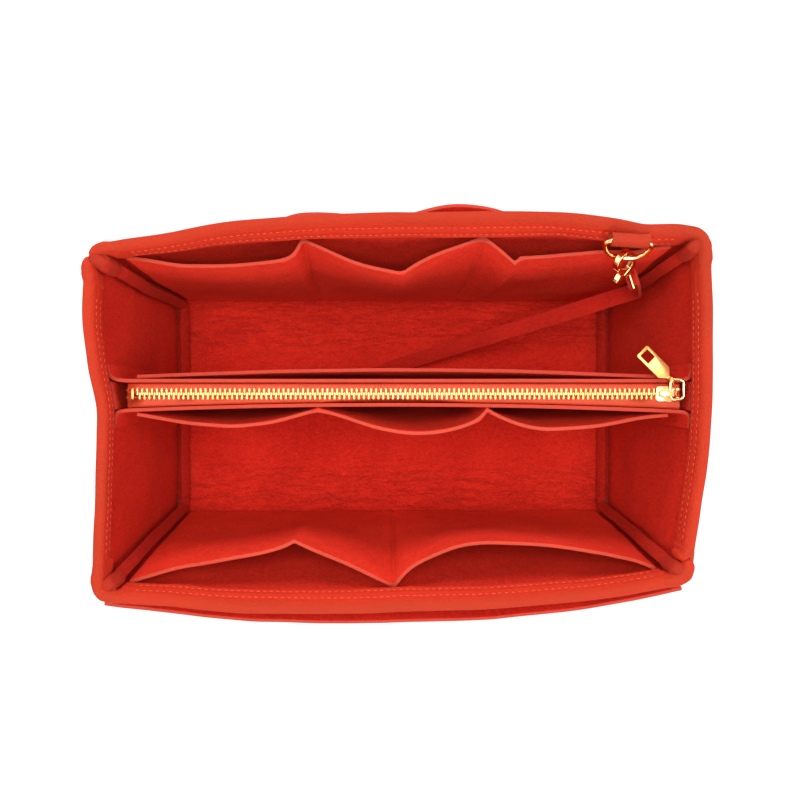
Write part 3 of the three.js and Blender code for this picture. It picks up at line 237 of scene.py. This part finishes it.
def felt_material(name, light, deep, edge, hem=None, rim_shade_colour=None):
    """Pressed felt: short fuzzy fibres, cloudy dye, soft suede-like creases and paler cut edges.
    Where it has a hem, the hem band is painted a more orange tone as painted light and sheen, and
    its top is painted darker as painted shade."""
    material, shader, place = new_material(name)
    cloud = place.noise(24.0, 3.0, 0.55, 0.4)
    fibre = place.stretched(1.0, 1.35, 0.8).noise(1150.0, 3.0, 0.7, 0.8)
    fleck = place.noise(2100.0, 2.0, 0.6)
    mottle = place.stretched(1.0, 1.6, 0.7).noise(330.0, 3.0, 0.62, 0.6)
    dye = (cloud * 0.5 + fibre * 1.4 + mottle * 0.6 - 0.75).step(0.12, 0.88)
    x, y, z = place.axes()
    body = dye.blend(deep, light)
    # Painted light: above hem_foot the hem band is blended towards the hem colour, which stands in
    # for the light and sheen its fuzz catches. Painted shade: above hem_top the rim top is blended
    # towards a darker colour that holds back the lamps' light there.
    if hem:
        painted_hem_light = z.step(*hem_foot) * (dye * 0.3 + 0.7)
        body = body.add("ShaderNodeMix", {0: painted_hem_light, 6: body, 7: hem}, 2, data_type="RGBA")
        painted_rim_shade = z.step(*hem_top) * (cloud * 0.5 + 0.65)
        body = body.add("ShaderNodeMix", {0: painted_rim_shade, 6: body, 7: rim_shade_colour}, 2, data_type="RGBA")
    cut = place.add("ShaderNodeAttribute", {}, "Fac", attribute_name="cut_edge")
    pale = (fleck.step(0.35, 0.65) * 0.65 + 0.3) * cut
    feeds = {0: pale, 6: body, 7: edge}
    connect(shader, Base_Color=body.add("ShaderNodeMix", feeds, 2, data_type="RGBA"))
    connect(shader, Roughness=fibre * 0.16 + 0.8)
    shader.inputs["Sheen Weight"].default_value = 0.08
    shader.inputs["Sheen Roughness"].default_value = 0.4
    shader.inputs["Sheen Tint"].default_value = colour(255, 128, 78)
    shader.inputs["Specular IOR Level"].default_value = 0.15
    crease = place.stretched(1.0, 3.6, 1.2).noise(58.0, 4.0, 0.6, 1.1)
    ridge = 1.0 - ((crease - 0.5) * 11.0).size().step(0.0, 1.0)
    pressed = place.noise(34.0, 3.0, 0.6, 2.2)
    dent = 1.0 - ((pressed - 0.5) * 16.0).size().step(0.0, 1.0)
    low = 1.0 - z.step(*floor_top)
    near_seams = (y + 0.001).size().step(0.026, 0.05)
    folds = ridge * (low * near_seams * 0.6 + 0.06) + dent * (low * 0.2 + 0.05)
    soft = place.noise(190.0, 3.0, 0.5, 0.3)
    swell = soft.bump(0.0008, 0.45, (folds * -1.0).bump(0.0008, 0.85))
    connect(shader, Normal=fibre.bump(0.0006, 1.0, swell))
    return material


felt_look = felt_material(
    "red_felt", colour(228, 49, 30), colour(182, 25, 17), colour(160, 74, 58)
)
# The last two colours are painted light on the hem band and painted shade on the rim top.
wall_look = felt_material(
    "red_felt_with_hem", colour(228, 49, 30), colour(182, 25, 17), colour(160, 74, 58),
    colour(204, 51, 27), colour(162, 48, 27),
)


def cut_faces(bm, least):
    """Marks the narrow faces along a sheet's cut edges, each between two sharp bends."""
    widest = 0.0026
    layer = bm.faces.layers.float.new("cut_edge")
    for face in bm.faces:
        sharp = sum(1 for e in face.edges if e.calc_face_angle(0.0) > least)
        longest = max(e.calc_length() for e in face.edges)
        if sharp >= 2 and face.calc_area() / longest < widest:
            face[layer] = 1.0


def ramp(value, start, end):
    """0 at start, 1 at end, smooth between."""
    share = min(max((value - start) / (end - start), 0.0), 1.0)
    return share * share * (3.0 - 2.0 * share)


corner_flares = (
    ((-0.105, -0.142), (0.02, 0.07), (-0.0034, 0.0036)),
    ((0.124, 0.152), (0.02, 0.072), (0.0006, 0.0078)),
    ((-0.105, -0.142), (-0.04, -0.09), (-0.0028, -0.0022)),
    ((0.105, 0.142), (-0.04, -0.09), (0.0012, -0.0004)),
)


# Vector noise starts from the clock unless it gets a seed, and the felt has to come out the same
# each run.
noise.seed_set(11)


def sway(point):
    """How far handling has pushed the felt here, in metres. The rim flares at its corners, and
    near the ring and the zip the felt is held."""
    flare = Vector((0.0, 0.0, 0.0))
    for along, across, push in corner_flares:
        share = ramp(point.x, *along) * ramp(point.y, *across)
        flare += Vector((push[0], push[1], 0.0)) * share * (max(point.z, 0.0) / 0.17) ** 1.6
    held = min((point - ring_place).length / 0.03, 1.0)
    if point.z > 0.125:
        held *= min(max((abs(point.y - zip_y) - 0.007) / 0.02, 0.0), 1.0)
    held *= min(max(point.z / 0.012, 0.0), 1.0) * 0.9 + 0.1
    slow = noise.noise_vector(point * 21.0 + Vector((3.1, 0.4, 7.7)))
    quick = noise.noise_vector(point * 58.0 + Vector((9.3, 2.2, 1.7)))
    return flare + (slow * 0.0008 + quick * 0.0003) * held


def finished(mesh, name, body, look):
    """Makes the piece of a finished mesh and lets it ride on its body."""
    for polygon in mesh.polygons:
        polygon.use_smooth = True
    mesh.materials.clear()
    mesh.materials.append(look)
    piece = bpy.data.objects.new(name, mesh)
    bpy.context.scene.collection.objects.link(piece)
    if body:
        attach(piece, body)
    return piece


def smoothed(bm, name, levels):
    """The mesh of bm after that many rounds of smoothing subdivision."""
    mesh = bpy.data.meshes.new(name)
    bm.to_mesh(mesh)
    bm.free()
    holder = bpy.data.objects.new(name + "_work", mesh)
    bpy.context.scene.collection.objects.link(holder)
    rounds = holder.modifiers.new("smooth", "SUBSURF")
    rounds.levels = levels
    rounds.render_levels = levels
    rounds.use_limit_surface = False
    seen = holder.evaluated_get(bpy.context.evaluated_depsgraph_get())
    result = bpy.data.meshes.new_from_object(seen)
    result.name = name
    bpy.data.objects.remove(holder)
    bpy.data.meshes.remove(mesh)
    return result


def cad_copy(node):
    """A merged copy of a CAD node's mesh, in four-sided faces where it can be."""
    bm = bmesh.new()
    bm.from_mesh(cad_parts[node].data)
    bmesh.ops.remove_doubles(bm, verts=bm.verts, dist=1e-6)
    bmesh.ops.join_triangles(
        bm, faces=bm.faces, angle_face_threshold=math.radians(40),
        angle_shape_threshold=math.radians(80),
    )
    return bm


def sewn_creases(bm, least):
    """Keeps the folds that run up a sheet sharp, and where they cross its cut edge."""
    crease = bm.edges.layers.float.new("crease_edge")
    for e in bm.edges:
        length = e.calc_length()
        upright = abs(e.verts[0].co.z - e.verts[1].co.z) > 0.6 * length
        if e.calc_face_angle(0.0) > least and (length < 0.002 or upright):
            e[crease] = 0.85


def felt_sheet(
    node, levels, shape=None, keep=None, edge=0.0004, cell=0.018, body="shell", first=None,
    look=felt_look,
):
    """The soft sheet that stands for a CAD sheet: rounded cut edges, gentle swells, the dents
    that shape(point, normal) adds, and what first(mesh) moves before it is smoothed."""
    bm = cad_copy(node)
    if first:
        first(bm)
    for _ in range(3):
        long_edges = [e for e in bm.edges if e.calc_length() > cell]
        bmesh.ops.subdivide_edges(bm, edges=long_edges, cuts=1, use_grid_fill=True)
    bend = math.radians(62)
    cut_faces(bm, bend)
    sharp = [e for e in bm.edges if e.calc_face_angle(0.0) > bend]
    bmesh.ops.bevel(
        bm, geom=sharp, offset=edge, offset_type="OFFSET", segments=2, profile=0.5,
        affect="EDGES", material=-1, clamp_overlap=True,
    )
    if keep:
        sewn_creases(bm, math.radians(keep))
    mesh = smoothed(bm, node + "_felt", levels)
    normals = [vertex.normal.copy() for vertex in mesh.vertices]
    for vertex, normal in zip(mesh.vertices, normals):
        point = vertex.co.copy()
        if shape:
            vertex.co += shape(point, normal)
        if body:
            vertex.co += sway(point)
    piece = finished(mesh, node + "_felt", body, look)
    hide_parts(node)
    return piece


def hem_dent(point, normal):
    """The felt sinks a little along the two rows of stitches in the hem."""
    near = sum(math.exp(-(((point.z - row) / 0.0017) ** 2)) for row in hem_rows)
    return normal * (-0.00035 * near if abs(normal.z) < 0.5 else 0.0)


def pressed_hem(axis):
    """Shortens the folded-in felt of a hem, on a wall that faces along the axis, and lets its lower
    edge stand out a little, but not behind the ring's tab."""
    fold, shorter = 0.1668, 0.74

    def press(bm):
        for vertex in bm.verts:
            if hem_foot[0] < vertex.co.z < 0.160:
                from_tab = (vertex.co - ring_place).xy.length
                inward = 0.0019 * ramp(from_tab, 0.022, 0.05) - 0.0009
                if vertex.co.z > 0.155:
                    inward *= 0.4
                vertex.co[axis] -= math.copysign(inward, vertex.co[axis])
                vertex.co.z = fold - (fold - vertex.co.z) * shorter

    return press


body_felt = felt_sheet("body_wrap", 2, hem_dent, first=pressed_hem(1), look=wall_look)
left_felt = felt_sheet("left_side_panel", 2, hem_dent, first=pressed_hem(0), look=wall_look)
right_felt = felt_sheet("right_side_panel", 2, hem_dent, first=pressed_hem(0), look=wall_look)

# Corner bindings. A folded strip of the same felt is sewn over the raw seam edges in each
# corner, from the rim down the wall and along the floor.
# The binding felt is painted darker than the walls' felt, as painted shade on the bindings where
# the lamps catch them. Its last two colours are the painted hem light and the rim top's painted
# shade.
binding_look = felt_material(
    "binding_felt", colour(196, 38, 24), colour(152, 22, 15), colour(150, 66, 52),
    colour(166, 38, 23), colour(150, 42, 25),
)
for side in ("left", "right"):
    felt_sheet(side + "_seam_binding", 2, edge=0.00015, look=binding_look)

# Rim corners. The hems' ends are folded round or against each other at the four corners, and the
# end of each corner binding is tucked under them in a soft lump.


def felt_lobe(name, stations, look=wall_look):
    """A soft rounded fold of felt: stations are x, y, lowest z, highest z and half thickness in
    millimetres along its middle."""
    bm = bmesh.new()
    rings = []
    last = len(stations) - 1
    for index, (x, y, low, high, half) in enumerate(stations):
        before = stations[max(index - 1, 0)]
        after = stations[min(index + 1, last)]
        along = Vector((after[0] - before[0], after[1] - before[1], 0.0)).normalized()
        side = Vector((-along.y, along.x, 0.0))
        ring = []
        for step in range(14):
            angle = math.tau * (step + 0.5) / 14
            across = math.copysign(abs(math.cos(angle)) ** 0.7, math.cos(angle)) * half
            up = math.copysign(abs(math.sin(angle)) ** 0.55, math.sin(angle))
            centre = Vector((x, y, (low + high) / 2 + up * (high - low) / 2))
            ring.append(bm.verts.new((centre + side * across) * 0.001))
        rings.append(ring)
    for before, after in zip(rings, rings[1:]):
        for at in range(14):
            bm.faces.new((before[at], before[at - 1], after[at - 1], after[at]))
    bm.faces.new(rings[0])
    bm.faces.new(list(reversed(rings[-1])))
    bmesh.ops.recalc_face_normals(bm, faces=bm.faces)
    mesh = smoothed(bm, name, 2)
    normals = [vertex.normal.copy() for vertex in mesh.vertices]
    for vertex, normal in zip(mesh.vertices, normals):
        lump = noise.noise(vertex.co * 260.0) * 0.0004 + noise.noise(vertex.co * 700.0) * 0.00016
        vertex.co += sway(vertex.co) + normal * lump
    return finished(mesh, name, "shell", look)


felt_lobe("back_left_hem_end", (
    (-132.5, 76.9, 149.6, 169.9, 3.0), (-136.5, 76.5, 149.0, 170.3, 3.5),
    (-141.0, 76.0, 149.2, 170.4, 3.7), (-144.8, 74.8, 150.2, 170.0, 3.6),
    (-147.0, 73.0, 151.6, 169.0, 3.0), (-147.9, 71.4, 153.5, 167.0, 1.8),
))
felt_lobe("left_back_hem_end", (
    (-148.2, 56.5, 149.6, 169.9, 3.0), (-148.4, 60.5, 149.0, 170.3, 3.5),
    (-149.2, 64.8, 149.2, 170.4, 3.8), (-149.4, 68.2, 150.4, 169.8, 3.5),
    (-148.8, 70.6, 152.0, 168.4, 2.6), (-148.0, 71.6, 154.0, 166.4, 1.6),
))
felt_lobe("back_left_binding_end", (
    (-148.6, 72.2, 158.0, 168.6, 1.8), (-146.6, 71.4, 156.0, 170.0, 3.4),
    (-143.6, 69.8, 154.0, 169.4, 4.2), (-141.0, 68.1, 150.0, 169.0, 4.3),
    (-139.4, 67.0, 148.0, 168.2, 3.9), (-138.3, 66.3, 149.0, 165.0, 2.4),
), binding_look)
felt_lobe("back_right_hem_corner", (
    (143.8, 81.4, 149.8, 169.9, 3.0), (147.8, 80.7, 149.2, 170.3, 3.5),
    (152.4, 79.6, 149.2, 170.4, 3.7), (155.6, 77.4, 149.4, 170.5, 3.8),
    (157.0, 73.8, 149.4, 170.5, 3.8), (157.1, 69.0, 149.2, 170.4, 3.7),
    (156.8, 63.5, 149.0, 170.3, 3.5), (156.6, 59.5, 149.8, 169.9, 3.0),
))
felt_lobe("back_right_binding_end", (
    (156.0, 76.4, 157.0, 168.8, 3.2), (153.6, 74.2, 155.0, 169.2, 4.2),
    (151.4, 72.2, 150.0, 168.8, 4.3), (149.9, 71.0, 148.0, 168.0, 3.9),
    (148.8, 70.1, 149.0, 165.0, 2.4),
), binding_look)
felt_lobe("front_left_hem_corner", (
    (-130.2, -94.0, 149.8, 169.9, 3.0), (-134.2, -93.6, 149.2, 170.3, 3.5),
    (-138.8, -93.2, 149.2, 170.4, 3.7), (-142.2, -91.6, 149.4, 170.5, 3.8),
    (-144.2, -88.2, 149.4, 170.5, 3.8), (-144.4, -83.6, 149.2, 170.4, 3.7),
    (-143.9, -79.0, 149.0, 170.3, 3.5), (-143.7, -75.0, 149.8, 169.9, 3.0),
))
felt_lobe("front_left_binding_end", (
    (-142.6, -90.6, 157.0, 168.8, 3.2), (-140.4, -88.6, 155.0, 169.2, 4.2),
    (-138.4, -86.9, 150.0, 168.8, 4.3), (-137.0, -85.7, 148.0, 168.0, 3.9),
    (-135.9, -84.8, 149.0, 165.0, 2.4),
), binding_look)
felt_lobe("front_right_hem_end", (
    (134.0, -87.8, 149.8, 169.9, 3.0), (138.0, -87.3, 149.2, 170.3, 3.5),
    (142.8, -86.8, 149.2, 170.4, 3.7), (146.4, -84.8, 149.4, 170.5, 3.8),
    (148.4, -81.2, 149.4, 170.3, 3.7), (148.4, -77.8, 150.6, 169.4, 3.2),
    (147.4, -75.8, 153.0, 167.4, 1.8),
))
felt_lobe("right_front_hem_end", (
    (148.3, -68.5, 149.6, 169.9, 3.0), (148.4, -71.6, 149.2, 170.2, 3.4),
    (147.4, -74.0, 150.2, 169.8, 3.2), (145.2, -75.2, 152.0, 168.6, 2.8),
    (143.2, -75.4, 155.0, 166.4, 1.8),
))
felt_lobe("front_right_binding_end", (
    (146.4, -84.2, 157.0, 168.8, 3.2), (144.4, -82.4, 155.0, 169.2, 4.2),
    (142.6, -80.9, 150.0, 168.8, 4.3), (141.2, -79.7, 148.0, 168.0, 3.9),
    (140.1, -78.8, 149.0, 165.0, 2.4),
), binding_look)

# Slip pockets. Each row of pockets is one sheet of felt, sewn to the wall along its foot, its
# ends and between the pockets, and standing away from the wall between the seams.
pocket_seams = {
    "back_inner_pockets": ((-0.0482, -0.0460), (0.0423, 0.0487)),
    "front_inner_pockets": ((0.00007, 0.0017),),
    "divider_front_pockets": ((-0.0402, -0.0385), (0.0465, 0.0508)),
}


def sunk_seams(node, way):
    """Sinks a pocket sheet along its seams, which run from the floor to the mouth."""
    foot_z, height = 0.012, 0.135
    seam_depth, seam_width = 0.0009, 0.0011

    def sink(point, normal):
        rise = (point.z - foot_z) / height
        near = 0.0
        for foot, mouth in pocket_seams[node]:
            off = point.x - foot - (mouth - foot) * rise
            near += math.exp(-((off / seam_width) ** 2))
        below_mouth = min(max((1.0 - rise) * 9.0, 0.0), 1.0)
        return Vector((0.0, way * seam_depth * near * below_mouth, 0.0))

    return sink


# The pocket felt is painted brighter than the walls' felt, as painted light on the pockets, which
# stand in shade inside the box.
pocket_look = felt_material(
    "pocket_felt", colour(242, 58, 36), colour(204, 32, 22), colour(166, 82, 64)
)
pocket_felt = {
    node: felt_sheet(node, 3, sunk_seams(node, way), keep=16, look=pocket_look)
    for node, way in (("back_inner_pockets", 1), ("front_inner_pockets", -1))
}
for node in ("front_outer_pocket", "back_outer_pockets"):
    felt_sheet(node, 3, keep=16)

# Zipped divider. Two felt panels make a pouch across the middle, with pockets on both faces,
# and felt strips close its ends.
for node in (
    "divider_front_panel", "divider_back_panel", "divider_back_pocket",
    "divider_left_end", "divider_right_end",
):
    felt_sheet(node, 3)
divider_felt = felt_sheet(
    "divider_front_pockets", 3, sunk_seams("divider_front_pockets", 1), keep=16, look=pocket_look
)

# Stitching. Lockstitch thread of the felt's colour runs in two rows round the folded hems and up
# the seams between pockets, each stitch 2.3 mm long and sunk into the felt.


def thread_material():
    """Twisted polyester thread, a little paler and shinier than the felt."""
    material, shader, place = new_material("red_thread")
    twist = place.noise(2600.0, 1.0, 0.5)
    connect(shader, Base_Color=twist.blend(colour(196, 44, 28), colour(226, 84, 56)))
    connect(shader, Roughness=twist * 0.2 + 0.45)
    connect(shader, Normal=twist.bump(0.00006, 0.5))
    return material


thread_look = thread_material()


def surface_of(pieces):
    """A search tree over the finished felt pieces, for laying stitches on them."""
    corners = []
    faces = []
    for piece in pieces:
        first = len(corners)
        corners += [v.co.copy() for v in piece.data.vertices]
        faces += [[first + i for i in polygon.vertices] for polygon in piece.data.polygons]
    return BVHTree.FromPolygons(corners, faces)


def stitch(bm, middle, along, up):
    """One stitch of 24 faces, lying half sunk in the felt."""
    side = along.cross(up).normalized()
    half, thick, thin = 0.00115, 0.00022, 0.00017
    tips = [bm.verts.new(middle + along * way * half - up * thick) for way in (-1, 1)]
    rings = []
    for shift, radius in ((-0.62, thin), (0.0, thick), (0.62, thin)):
        ring = []
        for step in range(6):
            angle = math.tau * step / 6
            out = side * math.cos(angle) + up * math.sin(angle)
            ring.append(bm.verts.new(middle + along * (shift * half) + out * radius))
        rings.append(ring)
    for at in range(6):
        bm.faces.new((tips[0], rings[0][at], rings[0][at - 1]))
        bm.faces.new((tips[1], rings[2][at - 1], rings[2][at]))
        for before, after in zip(rings, rings[1:]):
            bm.faces.new((before[at], after[at], after[at - 1], before[at - 1]))


def stitch_row(bm, tree, start, end, aim, step=0.0033):
    """Stitches where rays along aim, from points on the line start to end, meet the felt."""
    start, end, aim = Vector(start), Vector(end), Vector(aim)
    count = int((end - start).length / step)
    hits = [tree.ray_cast(start.lerp(end, i / count), aim, 0.5) for i in range(count + 1)]
    for index in range(1, count):
        before, here, after = hits[index - 1], hits[index], hits[index + 1]
        if before[0] is None or here[0] is None or after[0] is None:
            continue
        along = after[0] - before[0]
        if along.length > step * 3.2 or (here[0] - start.lerp(end, index / count)).length < 0.002:
            continue
        along.normalize()
        up = (here[1] - along * here[1].dot(along)).normalized()
        slip = noise.noise(here[0] * 900.0)
        deep = 0.00004 + noise.noise(here[0] * 333.0) * 0.00012
        stitch(bm, here[0] + up * deep + along * slip * 0.0003, along, up)


def stitching(name, rows):
    """Rows of stitches as one piece; each row gives its search tree, start, end and aim."""
    bm = bmesh.new()
    for row in rows:
        stitch_row(bm, *row)
    bmesh.ops.recalc_face_normals(bm, faces=bm.faces)
    mesh = bpy.data.meshes.new(name)
    bm.to_mesh(mesh)
    bm.free()
    return finished(mesh, name, "shell", thread_look)


wrap_tree = surface_of([body_felt])
left_tree = surface_of([left_felt])
right_tree = surface_of([right_felt])
hem_stitches = []
for height in hem_rows:
    for aim, far in ((1, 0.03), (-1, 0.2)):
        back = ((-0.1335, aim * far, height), (0.1455, aim * far, height), (0, aim, 0))
        hem_stitches.append((wrap_tree, *back))
    for y, aim in ((-0.03, -1), (-0.2, 1)):
        hem_stitches.append((wrap_tree, (-0.131, y, height), (0.135, y, height), (0, aim, 0)))
    for x, aim in ((-0.1, -1), (-0.25, 1)):
        hem_stitches.append((left_tree, (x, -0.076, height), (x, 0.057, height), (aim, 0, 0)))
    for x, aim in ((0.1, 1), (0.25, -1)):
        hem_stitches.append((right_tree, (x, -0.069, height), (x, 0.06, height), (aim, 0, 0)))
stitching("hem_stitches", hem_stitches)

back_tree = surface_of([pocket_felt["back_inner_pockets"]])
front_tree = surface_of([pocket_felt["front_inner_pockets"]])
divider_tree = surface_of([divider_felt])
stitching("pocket_stitches", (
    (back_tree, (-0.0480, 0.025, 0.016), (-0.0461, 0.025, 0.142), (0, 1, 0)),
    (back_tree, (0.0425, 0.025, 0.016), (0.0485, 0.025, 0.142), (0, 1, 0)),
    (front_tree, (0.0001, -0.02, 0.016), (0.0016, -0.02, 0.142), (0, -1, 0)),
    (divider_tree, (-0.0401, -0.06, 0.016), (-0.0386, -0.06, 0.139), (0, 1, 0)),
    (divider_tree, (0.0466, -0.06, 0.016), (0.0506, -0.06, 0.139), (0, 1, 0)),
))

# Zip tapes. Two woven polyester tapes are sewn inside the pouch's top edges and meet under the
# teeth. The weave shows as fine slanted ribs that turn at each row.


def tape_material():
    """Herringbone woven tape in the felt's colour, a little brighter and smoother."""
    material, shader, place = new_material("woven_tape")
    x, y, _ = place.axes()
    across = (y - zip_y).size()
    rows = (across * 640.0).math("PINGPONG", across * 640.0, 1.0)
    slant = (x * 5200.0 + rows * 5.0).sine()
    warp = (across * 7800.0).sine()
    weave = slant * 0.5 + warp * 0.2 + 0.5
    cloud = place.noise(130.0, 2.0)
    shade = (weave * 0.9 + cloud * 0.4).step(0.0, 1.2)
    connect(shader, Base_Color=shade.blend(colour(140, 28, 12), colour(214, 74, 30)))
    connect(shader, Roughness=cloud * 0.15 + 0.5)
    connect(shader, Normal=weave.bump(0.00022, 0.8))
    return material


tape_look = tape_material()


def zip_tape(side):
    """One tape, its inner edge carried in under the teeth to the chain's middle."""
    node = "zip_tape_" + side
    bm = cad_copy(node)
    way = 1 if side == "back" else -1
    for vertex in bm.verts:
        if abs(vertex.co.y - zip_y) < 0.0036:
            vertex.co.y = zip_y + way * 0.00015
    for _ in range(3):
        long_edges = [e for e in bm.edges if e.calc_length() > 0.012]
        bmesh.ops.subdivide_edges(bm, edges=long_edges, cuts=1, use_grid_fill=True)
    for vertex in bm.verts:
        end = ramp(vertex.co.x, -0.1325, -0.139)
        vertex.co.x += end * 0.0012
        vertex.co.z -= end * 0.0016
        wave = noise.noise(Vector((vertex.co.x * 60.0, way * 3.0, 0.5)))
        vertex.co.z += wave * 0.00012
    bmesh.ops.recalc_face_normals(bm, faces=bm.faces)
    for polygon in bm.faces:
        polygon.smooth = True
    mesh = bpy.data.meshes.new(node + "_woven")
    bm.to_mesh(mesh)
    bm.free()
    piece = finished(mesh, node + "_woven", "shell", tape_look)
    edge = piece.modifiers.new("edge", "BEVEL")
    edge.width = 0.0001
    edge.segments = 1
    edge.limit_method = "ANGLE"
    edge.angle_limit = math.radians(50)
    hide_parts(node)
    return piece


for side in ("front", "back"):
    zip_tape(side)

# Zip teeth and stops. Polished pale gold brass teeth are clamped on the tapes' inner edges and
# mesh along the middle, with a bottom stop at the left and two top stops at the right.


def gold_material(name, light, deep, wear):
    """Bright plated metal with fine rubbing marks and a slightly cloudy polish."""
    material, shader, place = new_material(name)
    cloud = place.noise(260.0, 3.0, 0.6)
    rub = place.stretched(1.0, 9.0, 3.0).noise(900.0, 2.0, 0.7)
    tone = (cloud * 0.7 + rub * 0.4).step(0.25, 0.8)
    connect(shader, Base_Color=tone.blend(deep, light))
    connect(shader, Roughness=rub * wear + 0.1)
    connect(shader, Normal=(cloud * 0.6 + rub * 0.4).bump(0.00006, 0.5))
    shader.inputs["Metallic"].default_value = 1.0
    return material


gold_look = gold_material(
    "polished_gold", colour(255, 220, 158), colour(244, 184, 112), 0.14
)
brass_look = gold_material("zip_brass", colour(252, 220, 142), colour(238, 186, 100), 0.4)
# The satin gold has a rougher, duller finish, and it is also painted darker than the polished gold.
# The darker colour is painted shade on the pull and the bottom stop, which sit in shade.
satin_shaded_gold_look = gold_material("satin_gold_with_painted_shade", colour(222, 156, 92), colour(186, 118, 64), 0.5)


def metal_piece(node, body, look, edge, rounds=0):
    """A CAD metal part with its edges rounded off, and smoothed where it is wire or cast round."""
    bm = cad_copy(node)
    if edge:
        sharp = [e for e in bm.edges if e.calc_face_angle(0.0) > math.radians(28)]
        bmesh.ops.bevel(
            bm, geom=sharp, offset=edge, offset_type="OFFSET", segments=2,
            profile=0.5, affect="EDGES", material=-1, clamp_overlap=True,
        )
    if rounds:
        mesh = smoothed(bm, node + "_metal", rounds)
    else:
        mesh = bpy.data.meshes.new(node + "_metal")
        bm.to_mesh(mesh)
        bm.free()
    piece = finished(mesh, node + "_metal", body, look)
    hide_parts(node)
    return piece


# A tooth's sections, from behind the tape's edge to the tip: how far out from the chain's middle
# line, half the width, and the undersides and tops above and below the chain's height.
zip_z = 0.147
tooth_pitch = 0.00254
tooth_outline = (
    (-0.00070, 0.00046, 0.0000, 0.00070), (-0.00030, 0.00058, -0.0002, 0.00082),
    (0.00030, 0.00056, -0.0004, 0.00080), (0.00055, 0.00040, -0.0010, 0.00072),
    (0.00080, 0.00050, -0.0012, 0.00124), (0.00270, 0.00060, -0.0013, 0.00130),
    (0.00295, 0.00050, -0.0010, 0.00100),
)


def zip_teeth(side):
    """One side's teeth: each a rounded bar over the tape's edge, with a low head in the middle."""
    node = "zip_teeth_" + side
    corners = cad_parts[node].data.vertices
    start = min(v.co.x for v in corners) + 0.0006
    end = max(v.co.x for v in corners) - 0.0006
    way = 1 if side == "back" else -1
    count = round((end - start) / tooth_pitch) + 1
    bm = bmesh.new()
    for tooth in range(count):
        x = start + tooth * tooth_pitch
        lean = noise.noise(Vector((tooth * 0.9, way * 5.0, 2.0))) * 0.00006 + way * 0.00006
        rings = []
        for out, half, low, high in tooth_outline:
            y = zip_y + way * out
            centre = x + lean * out / 0.0029
            belly, crown, shoulder = (low + high) / 2, high - 0.00001, high - 0.00014
            section = (
                (-1.0, belly), (-0.92, shoulder), (-0.66, crown), (0.66, crown),
                (0.92, shoulder), (1.0, belly), (0.0, low - 0.0001),
            )
            rings.append([
                bm.verts.new((centre + half * share, y, zip_z + rise)) for share, rise in section
            ])
        for before, after in zip(rings, rings[1:]):
            for at in range(len(before)):
                bm.faces.new((before[at], before[at - 1], after[at - 1], after[at]))
        bm.faces.new(rings[0])
        bm.faces.new(list(reversed(rings[-1])))
    bmesh.ops.recalc_face_normals(bm, faces=bm.faces)
    mesh = bpy.data.meshes.new(node + "_metal")
    bm.to_mesh(mesh)
    bm.free()
    piece = finished(mesh, node + "_metal", "shell", brass_look)
    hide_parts(node)
    return piece


def zip_cord(side):
    """The woven cord along the tape's inner edge, which the teeth grip."""
    way = 1 if side == "back" else -1
    bm = bmesh.new()
    bmesh.ops.create_cone(
        bm, cap_ends=True, cap_tris=False, segments=10, radius1=0.0005, radius2=0.0005,
        depth=0.277, matrix=Matrix.Rotation(math.pi / 2, 4, "Y"),
    )
    bmesh.ops.translate(bm, vec=(0.0005, zip_y + way * 0.00195, zip_z), verts=bm.verts)
    mesh = bpy.data.meshes.new("zip_cord_" + side)
    bm.to_mesh(mesh)
    bm.free()
    return finished(mesh, "zip_cord_" + side, "shell", tape_look)


for side in ("front", "back"):
    zip_teeth(side)
    zip_cord(side)
    metal_piece("zip_top_stop_" + side, "shell", brass_look, 0.0003)
metal_piece("zip_bottom_stop", "shell", satin_shaded_gold_look, 0.0004)

# Zip slider, link and pull. The cast slider carries an oval wire link under its bridge, and the
# link carries a flat pull plate with a window.
metal_piece("zip_slider", "slider", gold_look, 0.00022)
metal_piece("zip_pull_link", "pull_link", gold_look, 0, 1)
metal_piece("zip_pull", "pull", satin_shaded_gold_look, 0.0002)

# Ring tab and ring. A folded felt tab sewn behind the back hem holds the straight bar of a
# D ring of round gold wire.
felt_sheet("ring_tab", 3, cell=0.006, look=wall_look)
metal_piece("d_ring", "ring", gold_look, 0, 2)

# Snap hooks. Each cast hook has a sprung gate with a thumb lever and turns on a swivel whose
# loop holds one end of the key strap.
for node, body, edge in (
    ("snap_hook", "hook", 0.0007), ("hook_gate", "gate", 0.0003),
    ("swivel_eye", "swivel", 0.0002), ("key_hook", "shell", 0.0007),
    ("key_gate", "far_gate", 0.0003), ("key_swivel", "shell", 0.0002),
):
    metal_piece(node, body, gold_look, edge, 1)

# Key strap. A flat strip of the same felt, 9.3 mm wide, hangs from the swivel down to the floor
# and runs on under the divider, with a loop round a swivel's bar at each end.
# The strap felt is painted darker than the walls' felt, as painted shade that holds back the lamp
# light its top catches.
strap_look = felt_material(
    "strap_felt", colour(196, 38, 24), colour(158, 22, 14), colour(190, 76, 56)
)
strap = felt_sheet("key_strap", 3, cell=0.012, body=None, look=strap_look)
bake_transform(strap)
